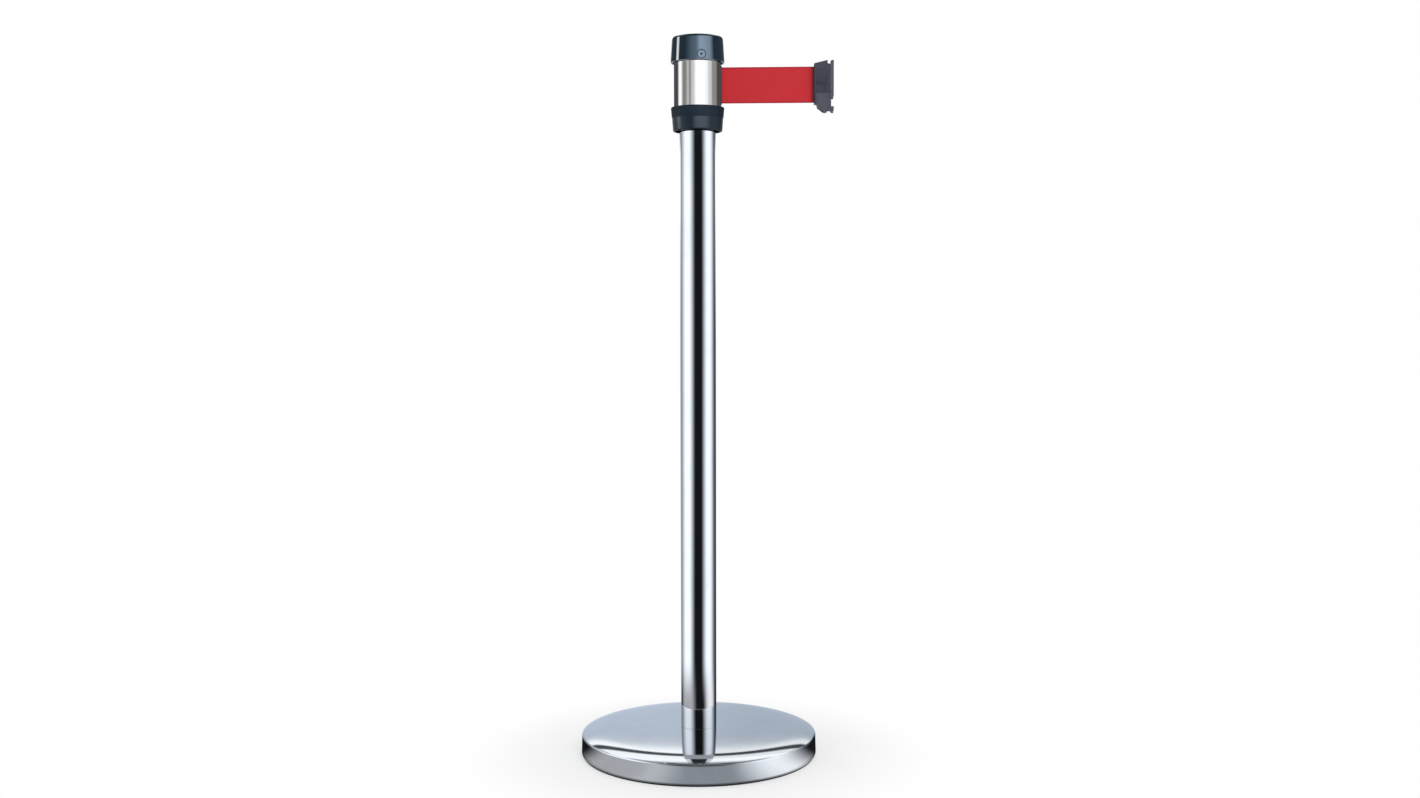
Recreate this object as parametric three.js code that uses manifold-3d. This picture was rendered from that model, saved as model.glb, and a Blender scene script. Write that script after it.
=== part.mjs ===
// Retractable belt stanchion: weighted round base, steel post, and a head that holds a spring-wound belt
// with a clip on its end. Millimetres, +Z up, origin on the floor at the post's axis, belt along +X.
import * as THREE from "three";
import { mergeVertices } from "three/addons/utils/BufferGeometryUtils.js";
import Module from "manifold-3d";

const wasm = await Module();
wasm.setup();

// Whole object
const overallHeight = 970;
const baseDiameter = 320;
const postDiameter = 48.6;
const sleeveDiameter = 63.5;
const beltWidth = 48;
const beltThickness = 0.7;
const beltLength = 2000;
const beltDrawn = 124;

// Clearances
const seatGap = 0.05;
const smallGap = 0.15;
const runGap = 0.3;

// Base
const baseHeight = 38;
const padHeight = 2;
const padInset = 2.5;
const coverSheet = 1;
const hemRadius = 3;
const sideDrop = 11.6;
const sideTaper = 0.6;
const shoulderInset = 3.7;
const shoulderDrop = 7.4;
const domeInset = 32;
const domeDrop = 2.4;
const seatMargin = 5.7;
const weightInset = 6.5;
const weightDraft = 1.5;
const weightThickness = 14;
const bossMargin = 4.7;
const bossSlope = 29;
const boltRecessRadius = 17;
const boltRecessDepth = 16;
const boltRadius = 6;
const boltHeadFlats = 18;
const boltHeadHeight = 7.5;
const boltHoleGap = 0.8;
const boltReach = 24;
const washerRadius = 12;
const washerThickness = 2.5;
const springWasherRadius = 10.5;
const springWasherThickness = 2.4;
const springWasherSlit = 1.6;

// Post and its two plugs
const postWall = 1.2;
const plugGap = 0.2;
const footPlugHeight = 30;
const headPlugDepth = 21;
const headPlugWall = 3.6;
const plugFlange = 3;
const spindleBossRadius = 9;
const spindleBossDepth = 13;
const plugScrewCount = 3;
const plugScrewRadius = 2;
const plugScrewLength = 8;
const plugScrewHeadRadius = 2.4;
const plugScrewHeadHeight = 1.8;
const plugScrewStartDeg = 90;

// Collar
const collarHeight = 31.8;
const collarSkirtDepth = 6;
const collarWeb = 3;
const collarBoreGap = 0.3;
const collarSkirtWall = 2.6;
const collarFootRound = 1.7;
const collarBandHeight = 14;
const collarBandStep = 0.5;
const collarTaper = 1;
const collarFlare = 2.6;
const collarRimWall = 1.9;
const collarRimRound = 0.9;
const collarCupDepth = 13.5;
const pocketGap = 0.25;

// Window between the cap and the collar, where the sleeve shows
const windowMargin = 5.6;

// Sleeve and its slot
const sleeveWall = 1;
const sleeveReach = 10;
const bezelWidth = 7;
const bezelHeightMargin = 1.6;
const bezelProud = 0.7;
const bezelGap = 0.25;
const bezelMouthWidth = 2.6;
const bezelMouthMargin = 0.8;

// Cap
const capHeight = 34;
const capWall = 2;
const capPlay = 0.45;
const capTaper = 1.6;
const capEdgeHeight = 3;
const capEdgeInset = 2.1;
const capPocketDepth = 6.2;
const capRoof = 3;
const capLedge = 3;
const capLedgeHeight = 2.5;
const capInnerWall = 2.4;
const markRadius = 6;
const markDepth = 0.8;
const markAngleDeg = 11.5;
const markRise = 7;
const setScrewRadius = 1.5;
const setScrewSink = 0.3;
const setScrewSocketFlats = 1.5;
const setScrewSocketDepth = 1.2;

// Cassette: housing, lid, spindle, drum
const housingGap = 0.35;
const housingWall = 1.2;
const housingFloor = 2;
const lidThickness = 2.6;
const lidRimWidth = 2.9;
const lidBossRadius = 8.5;
const topPlateThickness = 2;
const drumOffset = 2.5;
const drumGap = 1.1;
const drumFlange = 2;
const drumFloorGap = 0.8;
const beltSideGap = 0.6;
const hubRadius = 10;
const barrelWall = 1.8;
const springCoverThickness = 1.5;
const spindleRadius = 4;
const spindleShoulderRadius = 6;
const spindleThread = 10;
const spindleTip = 2;
const nutFlats = 13;
const nutHeight = 6.5;
const thrustWasherRadius = 8;
const thrustWasherThickness = 0.8;
const feltThickness = 1.6;
const feltRadius = 9;
const dragPlateThickness = 0.8;
const dragSppadHeight = 1.3;
const dragSpringThickness = 0.5;
const rollerRadius = 2.25;
const rollerPinRadius = 1;
const rollerWallGap = 0.4;
const rollerPinGap = 0.15;
const lugHeight = 3;
const lugWall = 1.7;

// Power spring
const springTurns = 8;
const springStrip = 0.6;
const springSideGap = 0.9;
const springStart = 7.2;
const springStepsPerTurn = 16;

// Clip
const clipDepth = 26.1;
const clipHalfWidth = 9;
const faceGap = 0.3;
const faceHalfWidth = 12;
const tongueThickness = 1.9;
const tongueHeight = 3.8;
const faceBottom = 17.8;
const webHalfWidth = 5;
const neckHalfWidth = 6.5;
const neckStart = 19;
const notchStart = 18;
const notchLip = 0.7;
const clipMargin = 3;
const clipTopRise = 4.2;
const finWidth = 3;
const finMargin = 2;
const webStep = 11.5;
const webEnd = 17.2;
const recessTop = 1.5;
const panelDepth = 1.2;
const panelEnd = 17;
const panelMargin = 7;
const ribStart = 21.6;
const beltPinRadius = 1.25;
const beltPinPlace = 6.2;
const beltPinOverlap = 1.7;
const tapeInset = 0.6;

// Latch
const latchTravel = 10.3;
const latchTop = 12.3;
const hookTop = 30.2;
const hookBottom = 36.4;
const scallopTop = 34.2;
const latchNose = 36.8;
const noseStart = 12;
const noseEnd = 17.4;
const noseLow = 15.6;
const noseBack = 35.6;
const noseBarTop = 34.9;
const hookReach = 2.4;
const latchHeel = 30.5;
const latchHeelInset = 0.9;
const nubRadius = 1.2;
const nubPlace = 13.5;
const nubHeight = 14;
const nubDepth = 1;
const latchSpringPlace = 14.7;
const latchSpringRadius = 1.65;
const latchSpringWire = 0.5;
const latchSpringTurns = 9;
const latchSpringSteps = 8;
const latchSpringSides = 4;
const latchSpringHole = 2.2;
const latchSpringHoleDepth = 15;

// Sides of the round bodies
const baseSides = 44;
const headSides = 40;
const postSides = 32;
const smallSides = 24;
const tinySides = 16;

// Radii worked out from the sizes above
const baseRadius = baseDiameter / 2;
const postRadius = postDiameter / 2;
const postBore = postRadius - postWall;
const sleeveRadius = sleeveDiameter / 2;
const sleeveBore = sleeveRadius - sleeveWall;
const plugRadius = postBore - plugGap;
const flangeRadius = sleeveBore - runGap;
const rimBore = sleeveRadius + tongueThickness + pocketGap;
const rimRadius = rimBore + collarRimWall;
const skirtBore = sleeveRadius + tongueThickness + capPlay;
const capRadius = skirtBore + capWall;
const housingRadius = sleeveBore - housingGap;
const housingBore = housingRadius - housingWall;
const drumRadius = housingBore - drumOffset - drumGap;
const barrelBore = drumRadius - barrelWall;
const drumBore = spindleRadius + 0.25;
const woundLength = beltLength - beltDrawn;
const rollRadius = Math.sqrt(hubRadius ** 2 + (beltThickness * woundLength) / Math.PI);

// Heights of the head's parts above the collar's foot
const windowHeight = beltWidth + 2 * windowMargin;
const headHeight = collarHeight + windowHeight + capHeight;
const headFoot = overallHeight - headHeight;
const capFoot = collarHeight + windowHeight;
const beltMiddle = collarHeight + windowHeight / 2;
const webTop = collarSkirtDepth + collarWeb;
const flangeTop = webTop + plugFlange;
const sleeveTop = capFoot + sleeveReach;
const housingFoot = flangeTop + seatGap;
const housingFloorTop = housingFoot + housingFloor;
const beltFoot = beltMiddle - beltWidth / 2;
const beltTop = beltMiddle + beltWidth / 2;
const lowerFlangeTop = beltFoot - beltSideGap;
const upperFlangeFoot = beltTop + beltSideGap;
const drumTop = upperFlangeFoot + drumFlange;
const drumWebFoot = lowerFlangeTop - drumFlange;
const barrelFoot = housingFloorTop + drumFloorGap + springCoverThickness + seatGap;
const feltTop = drumTop + seatGap + feltThickness;
const dragPlateTop = feltTop + seatGap + dragPlateThickness;
const dragSpringTop = dragPlateTop + seatGap + dragSppadHeight;
const lidFoot = dragSpringTop + seatGap;
const topPlateTop = sleeveTop + seatGap + topPlateThickness;
const nutTop = topPlateTop + seatGap + nutHeight;
const shoulderTop = drumWebFoot - thrustWasherThickness - 2 * seatGap;
const bezelHalfHeight = beltWidth / 2 + bezelHeightMargin;
const bezelFace = sleeveRadius + bezelProud;

// Guide roller's place, just inside the housing and under the belt
const rollerSink = beltThickness / 2 + runGap + rollerRadius;
const rollerReach = housingBore - rollerRadius - rollerWallGap;
const rollerX = Math.sqrt(rollerReach ** 2 - rollerSink ** 2);
const rollerY = -rollerSink;

// Clip's curved front
const faceRadius = sleeveRadius + faceGap;
const faceBack = faceRadius + tongueThickness;
const faceCentre = clipDepth + Math.sqrt(faceRadius ** 2 - faceHalfWidth ** 2);
const clipPlace = sleeveRadius + beltDrawn;
const latchBackRadius = faceBack + runGap;

const radians = THREE.MathUtils.degToRad;

// Points of an arc about [x, y], from one angle to the other
function arc(x, y, radius, fromDeg, toDeg, steps) {
  return Array.from({ length: steps + 1 }, (_, i) => {
    const angle = radians(fromDeg + ((toDeg - fromDeg) * i) / steps);
    return [x + radius * Math.cos(angle), y + radius * Math.sin(angle)];
  });
}

// Points of a soft bend from one point to another, pulled towards a third
function bend(from, towards, to, steps) {
  const ends = [from, towards, to].map(([x, y]) => new THREE.Vector2(x, y));
  return new THREE.QuadraticBezierCurve(...ends).getPoints(steps).map((p) => [p.x, p.y]);
}

// The same line moved sideways, to its left, by a sheet's thickness
function movedAside(line, distance) {
  const points = line.map(([x, y]) => new THREE.Vector2(x, y));
  return points.map((point, i) => {
    const before = point.clone().sub(points[Math.max(i - 1, 0)]).normalize();
    const after = points[Math.min(i + 1, points.length - 1)].clone().sub(point).normalize();
    const along = before.clone().add(after).normalize();
    const spread = Math.max(along.dot(after.length() > 0 ? after : before), 0.5);
    return [point.x - (along.y * distance) / spread, point.y + (along.x * distance) / spread];
  });
}

// A body of revolution about the vertical axis, from [radius, height] points
function turned(profile, sides) {
  const onAxis = profile[0][0] === 0 && profile.at(-1)[0] === 0;
  const points = profile.map(([r, z]) => new THREE.Vector2(r, z));
  if (THREE.ShapeUtils.area(points) < 0) points.reverse();
  if (!onAxis) points.push(points[0].clone());
  return new THREE.LatheGeometry(points, sides).rotateX(Math.PI / 2);
}

// A ring or disc between two radii and two heights
function ring(innerRadius, outerRadius, low, high, sides) {
  const profile = [
    [innerRadius, low],
    [outerRadius, low],
    [outerRadius, high],
    [innerRadius, high],
  ];
  return turned(profile, sides);
}

function shapeOf(outline) {
  return new THREE.Shape(outline.map(([x, y]) => new THREE.Vector2(x, y)));
}

// A plan outline raised from one height to another
function raised(outline, low, high) {
  const options = { depth: high - low, bevelEnabled: false };
  return new THREE.ExtrudeGeometry(shapeOf(outline), options).translate(0, 0, low);
}

// A front outline, [x, height] points, run from one depth to another along Y
function run(outline, near, far) {
  const options = { depth: far - near, bevelEnabled: false };
  return new THREE.ExtrudeGeometry(shapeOf(outline), options).rotateX(Math.PI / 2).translate(0, far, 0);
}

function box(x0, x1, y0, y1, z0, z1) {
  return new THREE.BoxGeometry(x1 - x0, y1 - y0, z1 - z0)
    .translate((x0 + x1) / 2, (y0 + y1) / 2, (z0 + z1) / 2);
}

// An upright rod, and the same laid along +X from one distance to another
function rod(radius, low, high, sides) {
  return new THREE.CylinderGeometry(radius, radius, high - low, sides)
    .rotateX(Math.PI / 2)
    .translate(0, 0, (low + high) / 2);
}

function rodAlongX(radius, near, far, sides) {
  return rod(radius, near, far, sides).rotateY(Math.PI / 2);
}

function rodAlongY(radius, near, far, sides) {
  return rod(radius, near, far, sides).rotateX(-Math.PI / 2);
}

function hexagon(acrossFlats, low, high) {
  return rod(acrossFlats / Math.sqrt(3), low, high, 6);
}

function solidOf(geometry) {
  const bare = geometry.clone();
  bare.deleteAttribute("normal");
  bare.deleteAttribute("uv");
  const merged = mergeVertices(bare, 1e-4);
  const mesh = new wasm.Mesh({
    numProp: 3,
    vertProperties: merged.attributes.position.array,
    triVerts: new Uint32Array(merged.index.array),
  });
  return new wasm.Manifold(mesh);
}

function geometryOf(solid) {
  const mesh = solid.getMesh();
  const geometry = new THREE.BufferGeometry();
  geometry.setAttribute("position", new THREE.BufferAttribute(mesh.vertProperties, 3));
  geometry.setIndex(new THREE.BufferAttribute(mesh.triVerts, 1));
  const faceted = geometry.toNonIndexed();
  faceted.computeVertexNormals();
  return faceted;
}

function joined(...geometries) {
  return geometryOf(geometries.map(solidOf).reduce((whole, piece) => whole.add(piece)));
}

function cut(geometry, ...tools) {
  return geometryOf(tools.map(solidOf).reduce((whole, tool) => whole.subtract(tool), solidOf(geometry)));
}

// One unbroken body through a row of sections, each a ring of as many points, closed by its two ends
function swept(sections) {
  const sides = sections[0].length;
  const positions = sections.flat().flatMap((point) => point.toArray());
  const faces = [];
  for (let i = 0; i + 1 < sections.length; i += 1) {
    for (let j = 0; j < sides; j += 1) {
      const a = i * sides + j;
      const b = i * sides + ((j + 1) % sides);
      faces.push(a, b + sides, b, a, a + sides, b + sides);
    }
  }
  const last = (sections.length - 1) * sides;
  for (let j = 1; j + 1 < sides; j += 1) {
    faces.push(0, j, j + 1, last, last + j + 1, last + j);
  }
  const geometry = new THREE.BufferGeometry();
  geometry.setAttribute("position", new THREE.Float32BufferAttribute(positions, 3));
  geometry.setIndex(faces);
  return geometry;
}

// A band of one thickness on edge along a plan path
function band(path, thickness, low, high) {
  const points = path.map(([x, y]) => new THREE.Vector2(x, y));
  const sections = points.map((point, i) => {
    const before = points[Math.max(i - 1, 0)];
    const after = points[Math.min(i + 1, points.length - 1)];
    const aside = after.clone().sub(before).normalize().rotateAround(new THREE.Vector2(), Math.PI / 2);
    const left = point.clone().addScaledVector(aside, thickness / 2);
    const right = point.clone().addScaledVector(aside, -thickness / 2);
    return [
      new THREE.Vector3(right.x, right.y, low),
      new THREE.Vector3(right.x, right.y, high),
      new THREE.Vector3(left.x, left.y, high),
      new THREE.Vector3(left.x, left.y, low),
    ];
  });
  return swept(sections);
}

// Least clear distance between a winding's neighbouring turns
function leastGap(path, stepsPerTurn, thickness) {
  let least = Infinity;
  for (let i = 0; i < path.length; i += 1) {
    for (let j = i + Math.round(stepsPerTurn / 2); j < path.length; j += 1) {
      least = Math.min(least, path[i].distanceTo(path[j]));
    }
  }
  return least - thickness;
}

const finishes = {
  polished: { color: 0xd6d9dd, roughness: 0.08, metalness: 1 },
  steel: { color: 0xb9bcc0, roughness: 0.35, metalness: 1 },
  springSteel: { color: 0x8c9096, roughness: 0.3, metalness: 1 },
  castIron: { color: 0x3c3e40, roughness: 0.8, metalness: 0.6 },
  castAlloy: { color: 0xa9abad, roughness: 0.5, metalness: 1 },
  rubber: { color: 0x1d1e1f, roughness: 0.9, metalness: 0 },
  glossBlack: { color: 0x17191c, roughness: 0.2, metalness: 0 },
  mattBlack: { color: 0x2a2c30, roughness: 0.5, metalness: 0 },
  clipGrey: { color: 0x474b55, roughness: 0.45, metalness: 0 },
  paleNylon: { color: 0xe4e2da, roughness: 0.5, metalness: 0 },
  felt: { color: 0x6d6a66, roughness: 1, metalness: 0 },
  redWebbing: { color: 0xbf3436, roughness: 0.85, metalness: 0 },
};

function piece(name, geometry, finish) {
  const mesh = new THREE.Mesh(geometry, new THREE.MeshStandardMaterial(finishes[finish]));
  mesh.name = name;
  return mesh;
}

// Cover: rolled hem, straight side, rounded shoulder, shallow dome, flat seat under the post
function baseCover() {
  const hemFoot = padHeight + seatGap;
  const hem = arc(baseRadius - hemRadius, hemFoot + hemRadius, hemRadius, -90, 0, 2);
  const sideTop = [baseRadius - sideTaper, baseHeight - sideDrop];
  const shoulder = [baseRadius - shoulderInset, baseHeight - shoulderDrop];
  const domeEdge = [baseRadius - domeInset, baseHeight - domeDrop];
  const seatEdge = [postRadius + seatMargin, baseHeight];
  const cornerPull = [sideTop[0], shoulder[1] - (shoulderInset - sideTaper) / 3];
  const shoulderPull = [domeEdge[0] + domeInset / 1.7, domeEdge[1] - domeDrop * 0.55];
  const domePull = [domeEdge[0] * 0.65 + seatEdge[0] * 0.35, baseHeight - seatGap];
  const outside = [
    ...hem,
    ...bend(sideTop, cornerPull, shoulder, 2),
    ...bend(shoulder, shoulderPull, domeEdge, 3).slice(1),
    ...bend(domeEdge, domePull, seatEdge, 2).slice(1),
    [boltRadius + boltHoleGap, baseHeight],
  ];
  const inside = movedAside(outside, coverSheet);
  return turned([...outside, ...inside.reverse()], baseSides);
}

function baseWeight() {
  const foot = padHeight + seatGap;
  const bossRadius = postRadius + bossMargin;
  const bossTop = baseHeight - coverSheet - seatGap;
  const profile = [
    [boltRecessRadius, foot],
    [baseRadius - weightInset, foot],
    [baseRadius - weightInset - weightDraft, foot + weightThickness],
    [bossRadius + bossSlope, foot + weightThickness],
    [bossRadius, bossTop],
    [boltRadius + boltHoleGap, bossTop],
    [boltRadius + boltHoleGap, foot + boltRecessDepth],
    [boltRecessRadius, foot + boltRecessDepth],
  ];
  return turned(profile, baseSides);
}

const boltWasherTop = padHeight + boltRecessDepth;
const springWasherTop = boltWasherTop - washerThickness - seatGap;
const boltHeadTop = springWasherTop - springWasherThickness - seatGap;

function baseBolt() {
  return joined(
    hexagon(boltHeadFlats, boltHeadTop - boltHeadHeight, boltHeadTop),
    rod(boltRadius, boltHeadTop - 1, baseHeight + boltReach, smallSides),
  );
}

function springWasher() {
  const whole = ring(
    boltRadius + smallGap,
    springWasherRadius,
    springWasherTop - springWasherThickness,
    springWasherTop,
    smallSides,
  );
  const slit = box(
    boltRadius - 1,
    springWasherRadius + 1,
    -springWasherSlit / 2,
    springWasherSlit / 2,
    springWasherTop - springWasherThickness - 1,
    springWasherTop + 1,
  );
  return cut(whole, slit);
}

const base = new THREE.Group();
base.add(
  piece("floor_pad", rod(baseRadius - padInset, 0, padHeight, baseSides), "rubber"),
  piece("base_weight", baseWeight(), "castIron"),
  piece("base_cover", baseCover(), "polished"),
  piece("base_bolt", baseBolt(), "steel"),
  piece(
    "base_washer",
    ring(
      boltRadius + smallGap,
      washerRadius,
      boltWasherTop - washerThickness,
      boltWasherTop,
      smallSides,
    ),
    "steel",
  ),
  piece("base_spring_washer", springWasher(), "springSteel"),
);

// Post, from the base cover up into the head
const postFoot = baseHeight + seatGap;
const postTop = headFoot + webTop;
const plugScrewHeight = collarSkirtDepth - plugScrewHeadRadius - runGap;

// The same radial tool or piece at each of the plug screws' places
function atPlugScrew(index, geometry) {
  const angle = radians(plugScrewStartDeg + (360 * index) / plugScrewCount);
  return geometry.rotateZ(angle);
}

function plugScrewHoles(radius, height) {
  return Array.from({ length: plugScrewCount }, (_, i) =>
    atPlugScrew(i, rodAlongX(radius, plugRadius / 2, sleeveRadius, tinySides).translate(0, 0, height)),
  );
}

function postTube() {
  const tube = ring(postBore, postRadius, postFoot, postTop - seatGap, postSides);
  return cut(tube, ...plugScrewHoles(plugScrewRadius + runGap, headFoot + plugScrewHeight));
}

const post = new THREE.Group();
post.add(
  piece("post_tube", postTube(), "polished"),
  piece(
    "post_foot_plug",
    ring(boltRadius + smallGap, plugRadius, postFoot, postFoot + footPlugHeight, postSides),
    "steel",
  ),
);

// Head plug: cup that fills the tube's end, flange that carries the head, threaded boss for the spindle
function headPlug() {
  const cupBore = plugRadius - headPlugWall;
  const cup = turned(
    [
      [0, webTop - seatGap],
      [cupBore, webTop - seatGap],
      [cupBore, webTop - headPlugDepth],
      [plugRadius, webTop - headPlugDepth],
      [plugRadius, webTop],
      [flangeRadius, webTop],
      [flangeRadius, flangeTop],
      [0, flangeTop],
    ],
    postSides,
  );
  const boss = rod(spindleBossRadius, webTop - spindleBossDepth, webTop + 1, smallSides)
    .translate(-drumOffset, 0, 0);
  const bore = rod(spindleRadius + smallGap, webTop - spindleBossDepth - 1, flangeTop + 1, smallSides)
    .translate(-drumOffset, 0, 0);
  return cut(joined(cup, boss), bore, ...plugScrewHoles(plugScrewRadius + smallGap, plugScrewHeight));
}

function plugScrew(index) {
  const headFace = postRadius + runGap;
  const screw = joined(
    rodAlongX(plugScrewHeadRadius, headFace, headFace + plugScrewHeadHeight, tinySides),
    rodAlongX(plugScrewRadius, headFace - plugScrewLength, headFace + 1, tinySides),
  );
  return atPlugScrew(index, screw.translate(0, 0, plugScrewHeight));
}

// Collar: skirt round the post, web clamped under the flange, pocket for the sleeve, flared cup rim
function collar() {
  const footRadius = rimRadius - collarFlare;
  const bandFoot = collarHeight - collarBandHeight;
  const pocket = sleeveRadius + pocketGap;
  const profile = [
    [postRadius + collarBoreGap, collarSkirtDepth],
    [footRadius - collarSkirtWall, collarSkirtDepth],
    [footRadius - collarSkirtWall, 0],
    ...arc(footRadius - collarFootRound, collarFootRound, collarFootRound, -90, 0, 2),
    [footRadius + collarTaper, bandFoot],
    [footRadius + collarTaper + collarBandStep, bandFoot + collarBandStep],
    [rimRadius, collarHeight - 2 * collarRimRound],
    ...arc(rimRadius - collarRimRound, collarHeight - collarRimRound, collarRimRound, 20, 90, 2),
    [rimBore + collarRimRound / 3, collarHeight],
    [rimBore, collarHeight - collarRimRound],
    [rimBore, collarHeight - collarCupDepth],
    [pocket, collarHeight - collarCupDepth],
    [pocket, webTop - seatGap],
    [postRadius + collarBoreGap, webTop - seatGap],
  ];
  return turned(profile, headSides);
}

function headSleeve() {
  const tube = ring(sleeveBore, sleeveRadius, webTop, sleeveTop, headSides);
  const slot = box(
    0,
    sleeveRadius + 1,
    -bezelWidth / 2 - bezelGap,
    bezelWidth / 2 + bezelGap,
    beltMiddle - bezelHalfHeight - bezelGap,
    beltMiddle + bezelHalfHeight + bezelGap,
  );
  return cut(tube, slot);
}

// Bezel: frame through the sleeve and the housing, round the belt's mouth
function outletBezel() {
  const mouthHalfHeight = beltWidth / 2 + bezelMouthMargin;
  const back = housingBore + rollerWallGap;
  const frame = box(
    back,
    bezelFace,
    -bezelWidth / 2,
    bezelWidth / 2,
    beltMiddle - bezelHalfHeight,
    beltMiddle + bezelHalfHeight,
  );
  const mouth = box(
    back - 1,
    bezelFace + 1,
    -bezelMouthWidth / 2,
    bezelMouthWidth / 2,
    beltMiddle - mouthHalfHeight,
    beltMiddle + mouthHalfHeight,
  );
  return cut(frame, mouth);
}

// Housing: cup round the drum, open at the bezel, with two lugs that hold the roller's pin
const rollerFoot = beltFoot - beltSideGap / 2;
const rollerTop = beltTop + beltSideGap / 2;

function lug(low, high) {
  return box(
    rollerX - rollerPinRadius - lugWall / 2,
    Math.sqrt(housingBore ** 2 - (rollerY - rollerPinRadius - lugWall) ** 2) + housingWall / 3,
    rollerY - rollerPinRadius - lugWall,
    rollerY + rollerPinRadius + lugWall,
    low,
    high,
  );
}

function cassetteHousing() {
  const cup = turned(
    [
      [0, housingFoot],
      [housingRadius, housingFoot],
      [housingRadius, lidFoot],
      [housingBore, lidFoot],
      [housingBore, housingFloorTop],
      [0, housingFloorTop],
    ],
    headSides,
  );
  const lugs = [
    lug(rollerFoot - seatGap - lugHeight, rollerFoot - seatGap),
    lug(rollerTop + seatGap, rollerTop + seatGap + lugHeight),
  ];
  const spindleHole = rod(
    spindleShoulderRadius + runGap,
    housingFoot - 1,
    housingFloorTop + 1,
    smallSides,
  ).translate(-drumOffset, 0, 0);
  const pinHole = rod(
    rollerPinRadius + smallGap,
    rollerFoot - lugHeight - 1,
    rollerTop + lugHeight + 1,
    tinySides,
  ).translate(rollerX, rollerY, 0);
  const mouth = box(
    housingBore - 1,
    housingRadius + 1,
    -bezelWidth / 2 - bezelGap,
    bezelWidth / 2 + bezelGap,
    beltMiddle - bezelHalfHeight - bezelGap,
    beltMiddle + bezelHalfHeight + bezelGap,
  );
  return cut(joined(cup, ...lugs), spindleHole, pinHole, mouth);
}

// Lid: disc on the housing's wall, with a rim and a boss that carry the top plate
function cassetteLid() {
  const discTop = lidFoot + lidThickness;
  const foot = lidFoot + seatGap;
  const dish = turned(
    [
      [0, foot],
      [housingRadius, foot],
      [housingRadius, sleeveTop],
      [housingRadius - lidRimWidth, sleeveTop],
      [housingRadius - lidRimWidth, discTop],
      [0, discTop],
    ],
    headSides,
  );
  const boss = rod(lidBossRadius, discTop - 1, sleeveTop, smallSides).translate(-drumOffset, 0, 0);
  const bore = rod(spindleRadius + smallGap, foot - 1, sleeveTop + 1, smallSides)
    .translate(-drumOffset, 0, 0);
  return cut(joined(dish, boss), bore);
}

function topPlate() {
  const foot = sleeveTop + seatGap;
  const disc = turned(
    [
      [0, foot],
      [sleeveRadius, foot],
      [sleeveRadius, topPlateTop],
      [0, topPlateTop],
    ],
    headSides,
  );
  const bore = rod(spindleRadius + smallGap, foot - 1, topPlateTop + 1, smallSides)
    .translate(-drumOffset, 0, 0);
  return cut(disc, bore);
}

// Spindle: thread in the plug, shoulder with the spring's slot, shaft up through drum, lid and plate
function spindle() {
  const shaft = turned(
    [
      [0, webTop - spindleThread],
      [spindleRadius, webTop - spindleThread],
      [spindleRadius, flangeTop + seatGap],
      [spindleShoulderRadius, flangeTop + seatGap],
      [spindleShoulderRadius, shoulderTop],
      [spindleRadius, shoulderTop],
      [spindleRadius, nutTop + spindleTip],
      [0, nutTop + spindleTip],
    ],
    smallSides,
  );
  const slot = box(
    -spindleShoulderRadius - 1,
    spindleShoulderRadius + 1,
    -springStrip / 2 - runGap,
    springStrip / 2 + runGap,
    barrelFoot,
    drumWebFoot - springSideGap / 2,
  );
  return cut(shaft, slot);
}

function spindleNut() {
  const low = topPlateTop + seatGap;
  return cut(hexagon(nutFlats, low, nutTop), rod(spindleRadius + smallGap, low - 1, nutTop + 1, smallSides));
}

function drum() {
  const profile = [
    [drumBore, drumWebFoot],
    [barrelBore, drumWebFoot],
    [barrelBore, barrelFoot],
    [drumRadius, barrelFoot],
    [drumRadius, lowerFlangeTop],
    [hubRadius, lowerFlangeTop],
    [hubRadius, upperFlangeFoot],
    [drumRadius, upperFlangeFoot],
    [drumRadius, drumTop],
    [drumBore, drumTop],
  ];
  return turned(profile, headSides);
}

// Power spring: inner end in the spindle's slot, then a flat spiral out to the barrel's wall
function springPath() {
  const reach = barrelBore - springStrip / 2 - runGap;
  const steps = springTurns * springStepsPerTurn;
  const spiral = Array.from({ length: steps + 1 }, (_, i) => {
    const angle = (2 * Math.PI * i) / springStepsPerTurn;
    const radius = springStart + ((reach - springStart) * i) / steps;
    return [radius * Math.cos(angle), radius * Math.sin(angle)];
  });
  return [[-spindleRadius, 0], [spindleRadius, 0], ...spiral];
}

function powerSpring() {
  return band(springPath(), springStrip, barrelFoot + springSideGap, drumWebFoot - springSideGap);
}

function dragSpring() {
  const low = dragPlateTop + seatGap;
  const bore = spindleRadius + runGap;
  const profile = [
    [bore, low + dragSppadHeight - dragSpringThickness],
    [feltRadius, low],
    [feltRadius, low + dragSpringThickness],
    [bore, low + dragSppadHeight],
  ];
  return turned(profile, smallSides);
}

// Belt inside the head: off the roll, round the guide roller and out through the bezel
function leadPath() {
  const rollPath = rollRadius + runGap + beltThickness / 2;
  const rollerPath = rollerRadius + runGap + beltThickness / 2;
  const across = new THREE.Vector2(rollerX + drumOffset, rollerY);
  const lean = Math.asin((rollPath + rollerPath) / across.length());
  const heading = across.angle() - 2 * Math.PI + lean;
  const right = new THREE.Vector2(Math.sin(heading), -Math.cos(heading));
  const start = [-drumOffset + right.x * rollPath, right.y * rollPath];
  const turn = arc(rollerX, rollerY, rollerPath, THREE.MathUtils.radToDeg(heading) + 90, 90, 6);
  return [start, ...turn, [bezelFace - beltThickness, 0]];
}

const tapeStart = bezelFace - beltThickness + runGap;

// Cap: skirt clear of the sleeve, thick band for the grub screw, inner wall, domed edge, front mark
const markX = Math.sin(radians(markAngleDeg));
const markY = -Math.cos(radians(markAngleDeg));
const capMarkRadius = capRadius - (capTaper * markRise) / (capHeight - capEdgeHeight);
const markFace = capMarkRadius - markDepth;

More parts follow.
